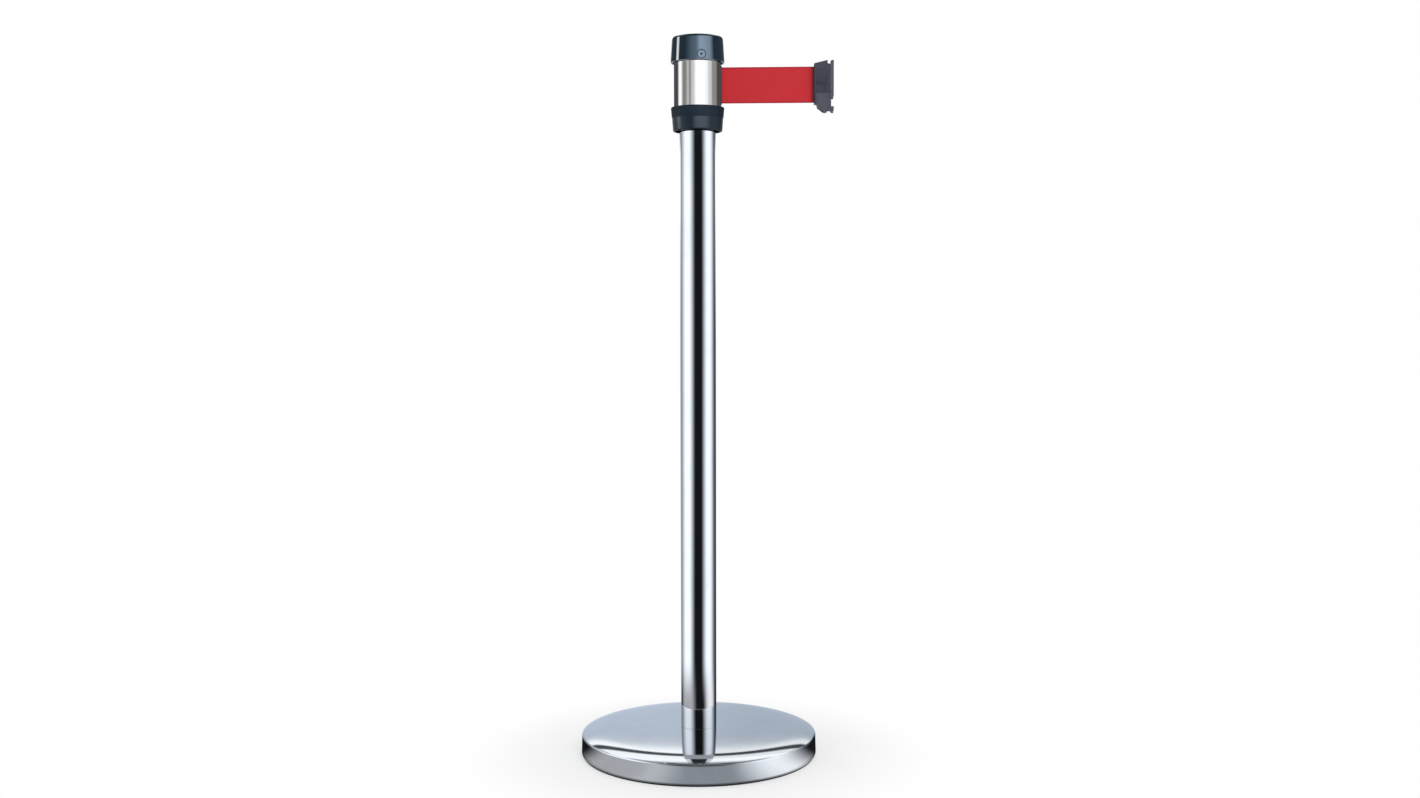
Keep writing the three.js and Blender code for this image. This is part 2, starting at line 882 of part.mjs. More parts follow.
// A piece laid along +X, turned to look out of the cap's mark
function atMark(geometry) {
  return geometry.rotateZ(Math.atan2(markY, markX)).translate(0, 0, capFoot + markRise);
}

function cap() {
  const top = capFoot + capHeight;
  const ledge = topPlateTop + seatGap;
  const edgeFoot = top - capEdgeHeight;
  const edgeRadius = capRadius - capTaper;
  const innerTop = edgeRadius - capInnerWall;
  const pocketTop = capFoot + capPocketDepth;
  const centring = sleeveRadius + pocketGap;
  const profile = [
    [0, top - capRoof],
    [innerTop, top - capRoof],
    [innerTop, ledge + capLedgeHeight],
    [centring - capLedge, ledge + capLedgeHeight],
    [centring - capLedge, ledge],
    [centring, ledge],
    [centring, pocketTop],
    [skirtBore, pocketTop],
    [skirtBore, capFoot],
    [capRadius, capFoot],
    ...bend([edgeRadius, edgeFoot], [edgeRadius, top], [edgeRadius - capEdgeInset, top], 3),
    [0, top],
  ];
  return cut(
    turned(profile, headSides),
    atMark(rodAlongX(markRadius, markFace, capRadius + 1, smallSides)),
    atMark(rodAlongX(setScrewRadius + smallGap, sleeveRadius - 1, capRadius, tinySides)),
  );
}

function capSetScrew() {
  const tip = sleeveRadius + runGap;
  const face = markFace - setScrewSink;
  const socket = hexagon(setScrewSocketFlats, face - setScrewSocketDepth, face + 1).rotateY(Math.PI / 2);
  return atMark(cut(rodAlongX(setScrewRadius, tip, face, tinySides), socket));
}

// Head, fixed to the post
const head = new THREE.Group();
head.position.z = headFoot;
head.add(
  piece("head_plug", headPlug(), "castAlloy"),
  piece("collar", collar(), "mattBlack"),
  piece("head_sleeve", headSleeve(), "polished"),
  piece("outlet_bezel", outletBezel(), "mattBlack"),
  piece("cassette_housing", cassetteHousing(), "mattBlack"),
  piece("cassette_lid", cassetteLid(), "mattBlack"),
  piece("top_plate", topPlate(), "steel"),
  piece("belt_lead", band(leadPath(), beltThickness, beltFoot, beltTop), "redWebbing"),
  piece("cap", cap(), "glossBlack"),
  piece("cap_set_screw", capSetScrew(), "steel"),
);
for (let i = 0; i < plugScrewCount; i += 1) {
  head.add(piece(`plug_screw_${i + 1}`, plugScrew(i), "steel"));
}

// Everything on the drum's axis
const drumAxis = new THREE.Group();
drumAxis.position.x = -drumOffset;
drumAxis.add(
  piece("spindle", spindle(), "steel"),
  piece("spindle_nut", spindleNut(), "steel"),
  piece(
    "thrust_washer",
    ring(
      drumBore,
      thrustWasherRadius,
      shoulderTop + seatGap,
      shoulderTop + seatGap + thrustWasherThickness,
      smallSides,
    ),
    "paleNylon",
  ),
  piece("drum", drum(), "paleNylon"),
  piece(
    "spring_cover",
    ring(
      spindleShoulderRadius + runGap,
      drumRadius,
      barrelFoot - seatGap - springCoverThickness,
      barrelFoot - seatGap,
      headSides,
    ),
    "steel",
  ),
  piece("power_spring", powerSpring(), "springSteel"),
  piece("belt_roll", ring(hubRadius + seatGap, rollRadius, beltFoot, beltTop, headSides), "redWebbing"),
  piece("drag_felt", ring(drumBore, feltRadius, drumTop + seatGap, feltTop, smallSides), "felt"),
  piece("drag_plate", ring(drumBore, feltRadius, feltTop + seatGap, dragPlateTop, smallSides), "steel"),
  piece("drag_spring", dragSpring(), "springSteel"),
);
head.add(drumAxis);

const rollerAxis = new THREE.Group();
rollerAxis.position.set(rollerX, rollerY, 0);
rollerAxis.add(
  piece(
    "guide_roller",
    ring(rollerPinRadius + rollerPinGap, rollerRadius, rollerFoot, rollerTop, tinySides),
    "paleNylon",
  ),
  piece(
    "guide_roller_pin",
    rod(rollerPinRadius, rollerFoot - lugHeight, rollerTop + lugHeight, tinySides),
    "steel",
  ),
);
head.add(rollerAxis);

// Clip, in a frame at its belt edge and the belt's middle: +X to its front, heights from the belt's middle

// A plan arc about the face's centre, out to a half width on each side
function faceArc(radius, halfWidth, steps) {
  const half = THREE.MathUtils.radToDeg(Math.asin(halfWidth / radius));
  return arc(faceCentre, 0, radius, 180 + half, 180 - half, steps);
}

function facePlate(inner, outer, halfWidth, low, high) {
  const outline = [...faceArc(inner, halfWidth, 8), ...faceArc(outer, halfWidth, 8).reverse()];
  return raised(outline, low, high);
}

// The space in front of a face of some radius, to cut a body back to it
function beforeFace(radius, low, high) {
  const halfWidth = faceHalfWidth + 1;
  const outline = [...faceArc(radius, halfWidth, 8), [faceCentre, halfWidth], [faceCentre, -halfWidth]];
  return raised(outline, low, high);
}

// Two like boxes on the front and the back of the clip
function bothSides(x0, x1, near, far, z0, z1) {
  return [box(x0, x1, near, far, z0, z1), box(x0, x1, -far, -near, z0, z1)];
}

const clipTop = beltWidth / 2 + clipMargin;
const clipFoot = beltWidth / 2 + finMargin;
const webFoot = noseBarTop - latchTravel - runGap;
const wide = faceHalfWidth + 1;
const beltPinLow = -clipFoot + runGap;
const beltPinHigh = beltWidth / 2 + beltPinOverlap;
const loopRadius = beltPinRadius + runGap + beltThickness / 2;
const loopChamber = loopRadius + beltThickness / 2 + runGap;
const grooveHalfWidth = nubRadius + runGap;

function clipBody() {
  const outline = [
    [0, -clipFoot],
    [webStep, -clipFoot],
    [webStep, -webFoot],
    [webEnd, -webFoot],
    [webEnd, -faceBottom],
    [clipDepth, -faceBottom],
    [clipDepth, clipTop],
    [notchStart, clipTop],
    [notchStart, clipTop + clipTopRise],
    [notchStart - notchLip, clipTop + clipTopRise],
    [0, clipTop],
  ];
  const beltHalf = beltWidth / 2 + runGap;
  const throat = 2 * loopRadius - beltThickness / 2;
  const core = cut(
    run(outline, -clipHalfWidth, clipHalfWidth),
    beforeFace(faceBack - tongueThickness / 2, -clipFoot - 1, clipTop + clipTopRise + 1),
    ...bothSides(finWidth, clipDepth + 1, webHalfWidth, wide, -clipFoot - 1, -recessTop),
    ...bothSides(finWidth, panelEnd, clipHalfWidth - panelDepth, wide, -recessTop - 1, clipTop - panelMargin),
    ...bothSides(neckStart, clipDepth + 1, neckHalfWidth, wide, -recessTop - 1, clipTop + 1),
    ...bothSides(
      nubPlace - grooveHalfWidth,
      nubPlace + grooveHalfWidth,
      webHalfWidth - nubDepth - runGap,
      wide,
      -nubHeight - grooveHalfWidth,
      -nubHeight + latchTravel + grooveHalfWidth,
    ),
    box(-1, finWidth + runGap, -throat / 2, throat / 2, -beltHalf, beltHalf),
    box(finWidth, beltPinPlace, -loopChamber + smallGap, loopChamber - smallGap, -beltHalf, beltHalf),
    rod(loopChamber, -beltHalf, beltHalf, smallSides).translate(beltPinPlace, 0, 0),
    rod(beltPinRadius + smallGap, -clipFoot - 1, beltPinHigh + runGap, tinySides)
      .translate(beltPinPlace, 0, 0),
    rod(latchSpringHole, -webFoot - 1, -webFoot + latchSpringHoleDepth, tinySides)
      .translate(latchSpringPlace, 0, 0),
  );
  const plate = facePlate(faceRadius, faceBack, faceHalfWidth, -faceBottom, clipTop + tongueHeight);
  const ribNear = clipHalfWidth + runGap;
  const ribs = bothSides(ribStart, clipDepth, ribNear, faceHalfWidth, -faceBottom, clipTop)
    .map((rib) => cut(rib, beforeFace(faceBack - tongueThickness / 2, -faceBottom - 1, clipTop + 1)));
  return joined(core, plate, ...ribs);
}

// Latch: two cheeks beside the body's web, a nose bar below it, and the hook in front
function latch() {
  const left = finWidth + runGap;
  const cheekOutline = [
    [left, -latchTop],
    [left, -clipFoot - runGap],
    [left + latchHeelInset, -latchHeel],
    [noseStart, -hookBottom],
    [noseLow, -latchNose],
    [noseEnd, -noseBack],
    [noseEnd + latchNose - hookBottom, -scallopTop],
    [clipDepth, -scallopTop],
    [clipDepth, -latchTop],
  ];
  const inner = webHalfWidth + runGap;
  const cheeks = [run(cheekOutline, inner, clipHalfWidth), run(cheekOutline, -clipHalfWidth, -inner)]
    .map((cheek) => cut(cheek, beforeFace(latchBackRadius, -latchNose - 1, 0)));
  const barOutline = [
    [noseStart, -hookBottom],
    [noseLow, -latchNose],
    [noseEnd, -noseBack],
    [noseEnd, -noseBarTop],
    [noseStart, -noseBarTop],
  ];
  const nubs = [inner - nubDepth - runGap, -inner - runGap].map((near) =>
    rodAlongY(nubRadius, near, near + nubDepth + 2 * runGap, tinySides)
      .translate(nubPlace, 0, -nubHeight),
  );
  return joined(
    ...cheeks,
    run(barOutline, -inner - 1, inner + 1),
    facePlate(faceBack - tongueThickness / 4, latchBackRadius + hookReach, faceHalfWidth, -scallopTop, -hookTop),
    facePlate(faceRadius, faceBack, faceHalfWidth, -hookBottom, -hookTop),
    ...nubs,
  );
}

// Belt's end: in through the slot, round its pin and back on itself
function endLoopPath() {
  const turn = arc(beltPinPlace, 0, loopRadius, 125, -125, 10);
  const mouth = [tapeInset + runGap, 0];
  const tail = [finWidth - runGap, -beltThickness - runGap - smallGap];
  return [mouth, [finWidth / 2 + runGap, 0], ...turn, tail];
}

// Latch spring: closed round wire coil between the nose bar and the top of its hole
function latchSpringPath() {
  const low = -noseBarTop + runGap + latchSpringWire / 2;
  const high = -webFoot + latchSpringHoleDepth - runGap - latchSpringWire / 2;
  const steps = latchSpringTurns * latchSpringSteps;
  return Array.from({ length: steps + 1 }, (_, i) => {
    const angle = (2 * Math.PI * i) / latchSpringSteps;
    const height = low + ((high - low) * i) / steps;
    return new THREE.Vector3(
      latchSpringRadius * Math.cos(angle),
      latchSpringRadius * Math.sin(angle),
      height,
    );
  });
}

function latchSpring() {
  const path = latchSpringPath();
  const sections = path.map((point) => {
    const outward = new THREE.Vector3(point.x, point.y, 0).normalize();
    return Array.from({ length: latchSpringSides }, (_, i) => {
      const angle = (2 * Math.PI * i) / latchSpringSides;
      return point
        .clone()
        .addScaledVector(outward, (latchSpringWire / 2) * Math.cos(angle))
        .add(new THREE.Vector3(0, 0, (latchSpringWire / 2) * Math.sin(angle)));
    });
  });
  return swept(sections).translate(latchSpringPlace, 0, 0);
}

const clip = new THREE.Group();
clip.position.set(clipPlace, 0, headFoot + beltMiddle);
clip.add(
  piece(
    "belt_tape",
    box(
      tapeStart - clipPlace,
      tapeInset,
      -beltThickness / 2,
      beltThickness / 2,
      -beltWidth / 2,
      beltWidth / 2,
    ),
    "redWebbing",
  ),
  piece(
    "belt_end_loop",
    band(endLoopPath(), beltThickness, -beltWidth / 2, beltWidth / 2),
    "redWebbing",
  ),
  piece(
    "belt_pin",
    rod(beltPinRadius, beltPinLow, beltPinHigh, tinySides).translate(beltPinPlace, 0, 0),
    "steel",
  ),
  piece("clip_body", clipBody(), "clipGrey"),
  piece("latch", latch(), "clipGrey"),
  piece("latch_spring", latchSpring(), "springSteel"),
);

const springTurnsPath = springPath().slice(2).map(([x, y]) => new THREE.Vector3(x, y, 0));
console.log("power spring, least gap", leastGap(springTurnsPath, springStepsPerTurn, springStrip).toFixed(2));
console.log(
  "latch spring, least gap",
  leastGap(latchSpringPath(), latchSpringSteps, latchSpringWire).toFixed(2),
);

const stanchion = new THREE.Group();
stanchion.add(base, post, head, clip);

export default stanchion;
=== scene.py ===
"""Retractable belt stanchion, laid out as a Blender add-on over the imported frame."""

import math

import bmesh
import bpy
from bpy.props import FloatProperty, FloatVectorProperty, IntProperty, PointerProperty
from mathutils import Matrix, Vector


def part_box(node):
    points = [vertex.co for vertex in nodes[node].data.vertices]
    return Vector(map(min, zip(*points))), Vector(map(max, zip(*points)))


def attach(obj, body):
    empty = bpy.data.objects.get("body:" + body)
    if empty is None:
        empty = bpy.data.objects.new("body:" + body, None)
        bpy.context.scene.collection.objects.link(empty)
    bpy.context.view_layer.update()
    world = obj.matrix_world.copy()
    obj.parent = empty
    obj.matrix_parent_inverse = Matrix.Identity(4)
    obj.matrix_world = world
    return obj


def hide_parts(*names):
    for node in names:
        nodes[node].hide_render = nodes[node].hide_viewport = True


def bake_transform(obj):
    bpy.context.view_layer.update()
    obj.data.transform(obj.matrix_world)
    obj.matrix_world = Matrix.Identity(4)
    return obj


bl_info = {
    "name": "Retractable belt stanchion",
    "version": (1, 0, 0),
    "blender": (4, 5, 0),
    "location": "View3D > Sidebar > Stanchion",
    "description": "Builds a retractable belt stanchion and a small studio round it",
    "category": "Object",
}

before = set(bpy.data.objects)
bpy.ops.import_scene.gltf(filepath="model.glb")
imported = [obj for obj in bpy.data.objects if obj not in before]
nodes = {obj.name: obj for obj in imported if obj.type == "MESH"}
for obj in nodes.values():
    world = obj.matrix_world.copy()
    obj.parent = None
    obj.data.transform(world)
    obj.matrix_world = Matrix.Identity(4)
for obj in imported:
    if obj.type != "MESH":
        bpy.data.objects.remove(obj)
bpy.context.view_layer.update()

HEAD = "post_and_head"
CLIP = "belt_and_clip"
LATCH = "clip_latch"
DRUM = "belt_drum"

# One millimetre in the scene's metres
MM = 0.001

# A length in millimetres that is too small to count
TINY = 1e-6


def box_mm(node):
    """Low and high corner of a node in millimetres."""
    low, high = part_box(node)
    return low / MM, high / MM


def middle_mm(node):
    """Middle of a node's box in millimetres."""
    low, high = box_mm(node)
    return (low + high) / 2


def radius_mm(node):
    """Half of a round node's width in millimetres."""
    low, high = box_mm(node)
    return (high.y - low.y) / 2


def colour_property(name, thing, default):
    return FloatVectorProperty(
        name=name, description=f"Colour of {thing}", default=default, subtype="COLOR", min=0, max=1, size=3
    )


def length_property(name, description, default, low, high):
    return FloatProperty(
        name=name, description=description, default=default, min=low, max=high,
        subtype="DISTANCE", unit="LENGTH",
    )


def angle_property(name, description, degrees):
    return FloatProperty(
        name=name, description=description, default=math.radians(degrees), subtype="ANGLE", unit="ROTATION"
    )


def power_property(name, description, default, high):
    return FloatProperty(name=name, description=description, default=default, min=0, max=high, unit="POWER")


class StanchionMetal(bpy.types.PropertyGroup):
    """Finish of the polished and plain metal"""

    polished: colour_property("Polished steel", "the mirror-polished stainless steel", (0.60, 0.61, 0.63))
    cover: colour_property("Cover steel", "the base cover's stainless sheet", (0.58, 0.60, 0.63))
    plain: colour_property("Plain steel", "machined and plated steel", (0.48, 0.48, 0.49))
    spring: colour_property("Spring steel", "the springs", (0.26, 0.27, 0.30))
    iron: colour_property("Cast iron", "the painted casting", (0.035, 0.037, 0.040))
    gloss: FloatProperty(
        name="Polish roughness", description="Roughness of the polished steel", default=0.025,
        subtype="FACTOR", min=0, max=1,
    )


class StanchionPlastic(bpy.types.PropertyGroup):
    """Finish of the mouldings"""

    cap: colour_property("Cap", "the glossy cap", (0.007, 0.015, 0.024))
    collar: colour_property("Collar", "the satin collar", (0.001, 0.005, 0.010))
    clip: colour_property("Clip", "the clip's body", (0.035, 0.037, 0.052))
    latch: colour_property("Latch", "the clip's latch", (0.060, 0.058, 0.077))
    # Painted light: the clip's front plate is drawn paler, as where the light falls on it
    plate_light: colour_property("Clip plate light", "the painted light on the clip's front plate", (0.070, 0.067, 0.087))
    inner: colour_property("Cassette", "the cassette inside the head", (0.012, 0.013, 0.015))
    nylon: colour_property("Nylon", "the drum and the roller", (0.72, 0.70, 0.64))
    rubber: colour_property("Rubber", "the floor pad", (0.016, 0.017, 0.019))
    felt: colour_property("Felt", "the brake felt", (0.15, 0.14, 0.13))


class StanchionBelt(bpy.types.PropertyGroup):
    """The webbing"""

    colour: colour_property("Belt", "the webbing", (0.50, 0.014, 0.021))
    selvedge: colour_property("Selvedge", "the webbing's woven edges", (0.32, 0.009, 0.020))
    # Painted shade: the webbing is drawn darker beside the clip, where the clip shades it
    clip_shade: colour_property("Belt shade by clip", "the painted shade on the webbing beside the clip", (0.10, 0.008, 0.010))
    rib: length_property("Rib pitch", "Distance between the webbing's long ribs", 0.0011, 0.0004, 0.004)
    pick: length_property("Pick pitch", "Distance between the cross threads", 0.0009, 0.0004, 0.004)
    edge: length_property("Selvedge width", "Width of each woven edge", 0.0022, 0.0005, 0.008)


class StanchionShape(bpy.types.PropertyGroup):
    """Small rounding and smoothness of the shown pieces"""

    edge_round: length_property("Moulded edge", "Rounding of the mouldings' edges", 0.0004, 0.0001, 0.001)
    sheet_round: length_property("Sheet edge", "Rounding of cut steel edges", 0.00015, 0.00005, 0.0005)
    sides: IntProperty(
        name="Sides", description="Facets round each turned piece", default=192, min=48, max=512
    )


class StanchionStudio(bpy.types.PropertyGroup):
    """Camera, floor and light"""

    focal_share: FloatProperty(
        name="Focal share", description="Focal length over the picture's width", default=1.0834,
        min=0.5, max=4,
    )
    distance: length_property("Camera distance", "From the post's axis to the camera", 2.083, 0.5, 10)
    height: length_property("Camera height", "Height of the camera over the floor", 0.597, 0, 3)
    turn: angle_property("Camera turn", "Angle of the camera round the post", 3.0)
    aside: angle_property("Aim aside", "Angle of the camera's aim to the right of the post", 0.44)
    pitch: angle_property("Pitch", "Angle of the camera below the level", 3.063)
    roll: angle_property("Roll", "Roll of the camera", -0.089)
    floor: colour_property("Floor", "the floor", (0.86, 0.865, 0.875))
    ambient: FloatProperty(
        name="Room light", description="Strength of the even light from all round", default=0.45, min=0, max=3
    )
    lamp: power_property("Lamp power", "Power shared out to the three studio lamps", 34.0, 500)
    collar_front: power_property("Collar front lamp", "Power of the collar's own lamp in front", 2.1, 20)
    collar_left: power_property("Collar left lamp", "Power of the collar's own lamp at the left", 0.35, 20)


# Mesh making


def bend(start, pull, end, steps):
    """Points of a soft bend from start to end, pulled towards a third point."""
    a, b, c = Vector(start), Vector(pull), Vector(end)
    shares = (k / steps for k in range(steps + 1))
    return [tuple(a * (1 - t) ** 2 + b * 2 * t * (1 - t) + c * t**2) for t in shares]


def corner_rounded(points, radius, closed=True):
    """The same outline with a small soft corner at each sharp turn."""
    steps, slight_turn, reach_share = 3, math.radians(14), 0.45
    made = []
    for i, point in enumerate(points):
        here = Vector(point)
        back, on = Vector(points[i - 1]) - here, Vector(points[(i + 1) % len(points)]) - here
        line_end = not closed and i in (0, len(points) - 1)
        if line_end or min(back.length, on.length) < TINY or math.pi - back.angle(on) < slight_turn:
            made.append(tuple(here))
            continue
        reach = min(radius, back.length * reach_share, on.length * reach_share)
        made += bend(here + back.normalized() * reach, here, here + on.normalized() * reach, steps)
    return made


def arc(centre, radius, first, last, steps):
    """Points of an arc, angles in degrees."""
    angles = (math.radians(first + (last - first) * k / steps) for k in range(steps + 1))
    return [(centre[0] + radius * math.cos(a), centre[1] + radius * math.sin(a)) for a in angles]


def circle(centre, radius, count=24):
    """Points all the way round."""
    return arc(centre, radius, 0, 360 - 360 / count, count - 1)


def course(line):
    """Each point of a line with the line's direction there."""
    for i, here in enumerate(line):
        before, after = Vector(line[max(i - 1, 0)]), Vector(line[min(i + 1, len(line) - 1)])
        yield here, (after - before).normalized()


def beside(line, distance):
    """The same line moved to its left side by a distance."""
    return [(here[0] - along.y * distance, here[1] + along.x * distance) for here, along in course(line)]


def shaded(piece, sharp_over=34.0):
    """Faces outward, smooth, with crisp edges where they turn by more than an angle."""
    same_place = 1e-7
    form = bmesh.new()
    form.from_mesh(piece.data)
    bmesh.ops.remove_doubles(form, verts=form.verts, dist=same_place)
    bmesh.ops.recalc_face_normals(form, faces=form.faces)
    for face in form.faces:
        face.smooth = True
    limit = math.radians(sharp_over)
    for edge in form.edges:
        edge.smooth = len(edge.link_faces) == 2 and edge.calc_face_angle(0.0) < limit
    form.to_mesh(piece.data)
    form.free()
    return piece


def new_piece(name, points, faces, sharp_over=34.0):
    """A smooth-shaded mesh from points in millimetres."""
    mesh = bpy.data.meshes.new(name)
    mesh.from_pydata([Vector(p) * MM for p in points], [], faces)
    mesh.validate()
    piece = bpy.data.objects.new(name, mesh)
    bpy.context.scene.collection.objects.link(piece)
    return shaded(piece, sharp_over)


def band(count, first, second):
    """Faces between two loops of points, each given by the number of its first point."""
    return [[first + k, first + (k + 1) % count, second + (k + 1) % count, second + k] for k in range(count)]


def skinned(name, loops, sharp_over=34.0, ring=False):
    """A body through loops of points: closed at both ends, or run on from the last loop to the first."""
    n = len(loops[0])
    starts = [n * i for i in range(len(loops))]
    last = starts[-1]
    faces = band(n, last, 0) if ring else [list(range(n)), list(range(last + n - 1, last - 1, -1))]
    for pair in zip(starts, starts[1:]):
        faces += band(n, *pair)
    return new_piece(name, [point for loop in loops for point in loop], faces, sharp_over)


def held(profile):
    """The outline with points near both ends of each long straight, so that it shades as a straight."""
    long, near = 2.0, 0.25
    made = []
    for here, onward in zip(profile, profile[1:] + profile[:1]):
        start, end = Vector(here), Vector(onward)
        made.append(tuple(start))
        if (end - start).length > long:
            along = (end - start).normalized() * near
            made += [tuple(start + along), tuple(end - along)]
    return made


def turned(name, profile, sides, centre=(0.0, 0.0)):
    """A body of revolution from a closed [radius, height] outline."""
    points, rings = [], []
    for radius, z in held(profile):
        ring = circle(centre, radius, sides) if radius > TINY else [centre]
        rings.append([len(points) + k % len(ring) for k in range(sides)])
        points += [(x, y, z) for x, y in ring]
    faces = []
    for ring, onward in zip(rings, rings[1:] + rings[:1]):
        for k in range(sides):
            j = (k + 1) % sides
            corners = [ring[k], ring[j], onward[j], onward[k]]
            face = [c for n, c in enumerate(corners) if c != corners[n - 1]]
            if len(face) > 2:
                faces.append(face)
    return new_piece(name, points, faces)


def extruded(name, outline, near, far, plan=False):
    """A closed outline run from near to far: [x, height] along Y, or with plan [x, y] upwards."""
    return skinned(name, [[(x, z, d) if plan else (x, d, z) for x, z in outline] for d in (near, far)])


def slab(name, low, high):
    """A block between two corners, for cutting."""
    (x0, y0, z0), (x1, y1, z1) = low, high
    return extruded(name, [(x0, z0), (x1, z0), (x1, z1), (x0, z1)], y0, y1)


def both_sides(x0, x1, near, far, z0, z1):
    """A block on one side of the clip's middle plane and its twin on the other."""
    return [slab("side", (x0, y0, z0), (x1, y1, z1)) for y0, y1 in ((near, far), (-far, -near))]


def strip(name, path, thickness, low, high, across=12):
    """A band of webbing on edge along a plan path, with rounded edges."""
    lip, narrow = thickness / 2, 0.4
    levels = [low + lip + (high - low - thickness) * k / across for k in range(across + 1)]
    half = [(lip * narrow, low), *((lip, z) for z in levels), (lip * narrow, high)]
    section = half + [(-side, z) for side, z in reversed(half)]
    loops = []
    for here, along in course(path):
        loops.append([(here[0] - along.y * side, here[1] + along.x * side, z) for side, z in section])
    return skinned(name, loops, 50)


def applied(piece, kind, **settings):
    """Runs a modifier on the piece and keeps the result as its mesh."""
    step = piece.modifiers.new(kind, kind)
    for name, value in settings.items():
        setattr(step, name, value)
    graph = bpy.context.evaluated_depsgraph_get()
    graph.update()
    made = bpy.data.meshes.new_from_object(piece.evaluated_get(graph))
    piece.modifiers.clear()
    piece.data = made
    return piece


def carved(piece, tools, join=()):
    """The piece with each tool cut away and each joined body added."""
    for operation, others in (("DIFFERENCE", tools), ("UNION", join)):
        for other in others:
            applied(piece, "BOOLEAN", operation=operation, object=other, solver="EXACT")
            bpy.data.objects.remove(other)
    return piece


def softened(piece, width_mm):
    """Small rounded edges where the form turns sharply."""
    applied(
        shaded(piece), "BEVEL", width=width_mm * MM, segments=2, limit_method="ANGLE",
        angle_limit=math.radians(38), use_clamp_overlap=True, harden_normals=False,
    )
    return shaded(piece, 28)


def evened(piece):
    """Lets each flat face shade flat, with the turn kept in its small rounded edges."""
    return applied(shaded(piece, 30), "WEIGHTED_NORMAL", mode="FACE_AREA", weight=100, keep_sharp=True)


def fitted(piece, finish, replaced, body=None):
    """Gives a piece its finish, hides the solid that it stands for, and ties it to its body when one is
    given.
    """
    piece.data.materials.clear()
    piece.data.materials.append(finish_of(finish))
    if body:
        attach(piece, body)
    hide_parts(replaced)
    return piece


def unmirrored(piece):
    """Hides a piece from shiny faces, so that the sleeve doesn't mirror the belt and its clip."""
    piece.visible_glossy = False
    return piece


# Material making


def give(socket, value):
    """Links an output to a node's input, or sets the input to a number or a colour."""
    if isinstance(value, bpy.types.NodeSocket):
        socket.id_data.links.new(value, socket)
    elif socket.type == "RGBA":
        socket.default_value = (*value, 1.0)
    else:
        socket.default_value = value


def put(tree, kind, **settings):
    """A new node with its own settings, and with its inputs by name, underscores for spaces."""
    node = tree.nodes.new(kind)
    for key, value in settings.items():
        if hasattr(node, key):
            setattr(node, key, value)
        else:
            give(node.inputs[key.replace("_", " ")], value)
    return node


def worked(kind, *values, **settings):
    """A node fed in order with outputs or values, on the tree of its first output; gives its result."""
    tree = next(value.id_data for value in values if isinstance(value, bpy.types.NodeSocket))
    node = put(tree, kind, **settings)
    for socket, value in zip([socket for socket in node.inputs if socket.enabled], values):
        give(socket, value)
    return next(socket for socket in node.outputs if socket.enabled)


def maths(operation, *values, clamp=False):
    """Arithmetic on outputs and numbers."""
    return worked("ShaderNodeMath", *values, operation=operation, use_clamp=clamp)


def vector_maths(operation, *values):
    """Arithmetic on vector outputs, places or colours."""
    return worked("ShaderNodeVectorMath", *values, operation=operation)


def mixed(share, first, second):
    """A colour between two colours or outputs."""
    return worked("ShaderNodeMix", share, first, second, data_type="RGBA")


def mixed_shaders(share, first, second):
    """One shader turning into another."""
    return worked("ShaderNodeMixShader", share, first, second)


def raised(base, mask, by):
    """A base value changed where a mask is full by so much."""
    return maths("MULTIPLY_ADD", mask, by, base)


def part(vector, axis):
    """One axis of a vector output."""
    return put(vector.id_data, "ShaderNodeSeparateXYZ", Vector=vector).outputs[axis]


def ranged(value, low, high, to_low=0.0, to_high=1.0, smooth=True):
    """An output carried from one range to another."""
    kind = "SMOOTHSTEP" if smooth else "LINEAR"
    node = put(
        value.id_data, "ShaderNodeMapRange", interpolation_type=kind,
        Value=value, From_Min=low, From_Max=high, To_Min=to_low, To_Max=to_high,
    )
    return node.outputs["Result"]


def noise(vector, scale, detail, roughness=0.5, distortion=0.0):
    """Cloudy grey values."""
    node = put(
        vector.id_data, "ShaderNodeTexNoise",
        Vector=vector, Scale=scale, Detail=detail, Roughness=roughness, Distortion=distortion,
    )
    return node.outputs["Fac"]


def tinted(colour, by, more=0.0):
    """A colour made darker or lighter."""
    return [min(c * by + more, 1.0) for c in colour]


def cleared(owner):
    """The emptied node tree of a material or a world."""
    owner.use_nodes = True
    owner.node_tree.nodes.clear()
    return owner.node_tree


def polish_marks(position, along, across, patch_size):
    """Fine marks drawn out along one direction, with their strength varying in patches."""
    stretch = put(position.id_data, "ShaderNodeCombineXYZ", X=across, Y=across, Z=along).outputs[0]
    marks = noise(vector_maths("MULTIPLY", position, stretch), scale=1.0, detail=3.0, roughness=0.6)
    strength = ranged(noise(position, patch_size, detail=2.0), 0.38, 0.66)
    return strength, maths("MULTIPLY", marks, maths("ADD", strength, 0.35))


def smudges(position, size, fine_size):
    """Broad soft patches, as handling and wiping leave on a shiny face."""
    patch = ranged(noise(position, size, detail=3.0, roughness=0.55, distortion=0.8), 0.45, 0.72)
    grain = ranged(noise(position, fine_size, detail=2.0, roughness=0.6), 0.35, 0.7)
    return (maths("MULTIPLY", patch, raised(0.5, grain, 0.5)),)


def moulded_grain(position, grain, flow):
    """Fine pebbled skin of a moulding, with faint flow lines."""
    pebbles = put(position.id_data, "ShaderNodeTexVoronoi", feature="SMOOTH_F1", Vector=position, Scale=grain)
    return ranged(noise(position, flow, detail=4.0, distortion=1.2), 0.35, 0.65), pebbles.outputs["Distance"]


def settled_dust(position, grains, amount):
    """Light dust on faces that look up, in grains and soft patches."""
    normal = put(position.id_data, "ShaderNodeNewGeometry").outputs["Normal"]
    level = ranged(part(normal, "Z"), 0.55, 0.98)
    speck = ranged(noise(position, grains, detail=2.0, roughness=0.7), 0.56, 0.72)
    return (maths("MULTIPLY", maths("MULTIPLY", level, speck), amount),)


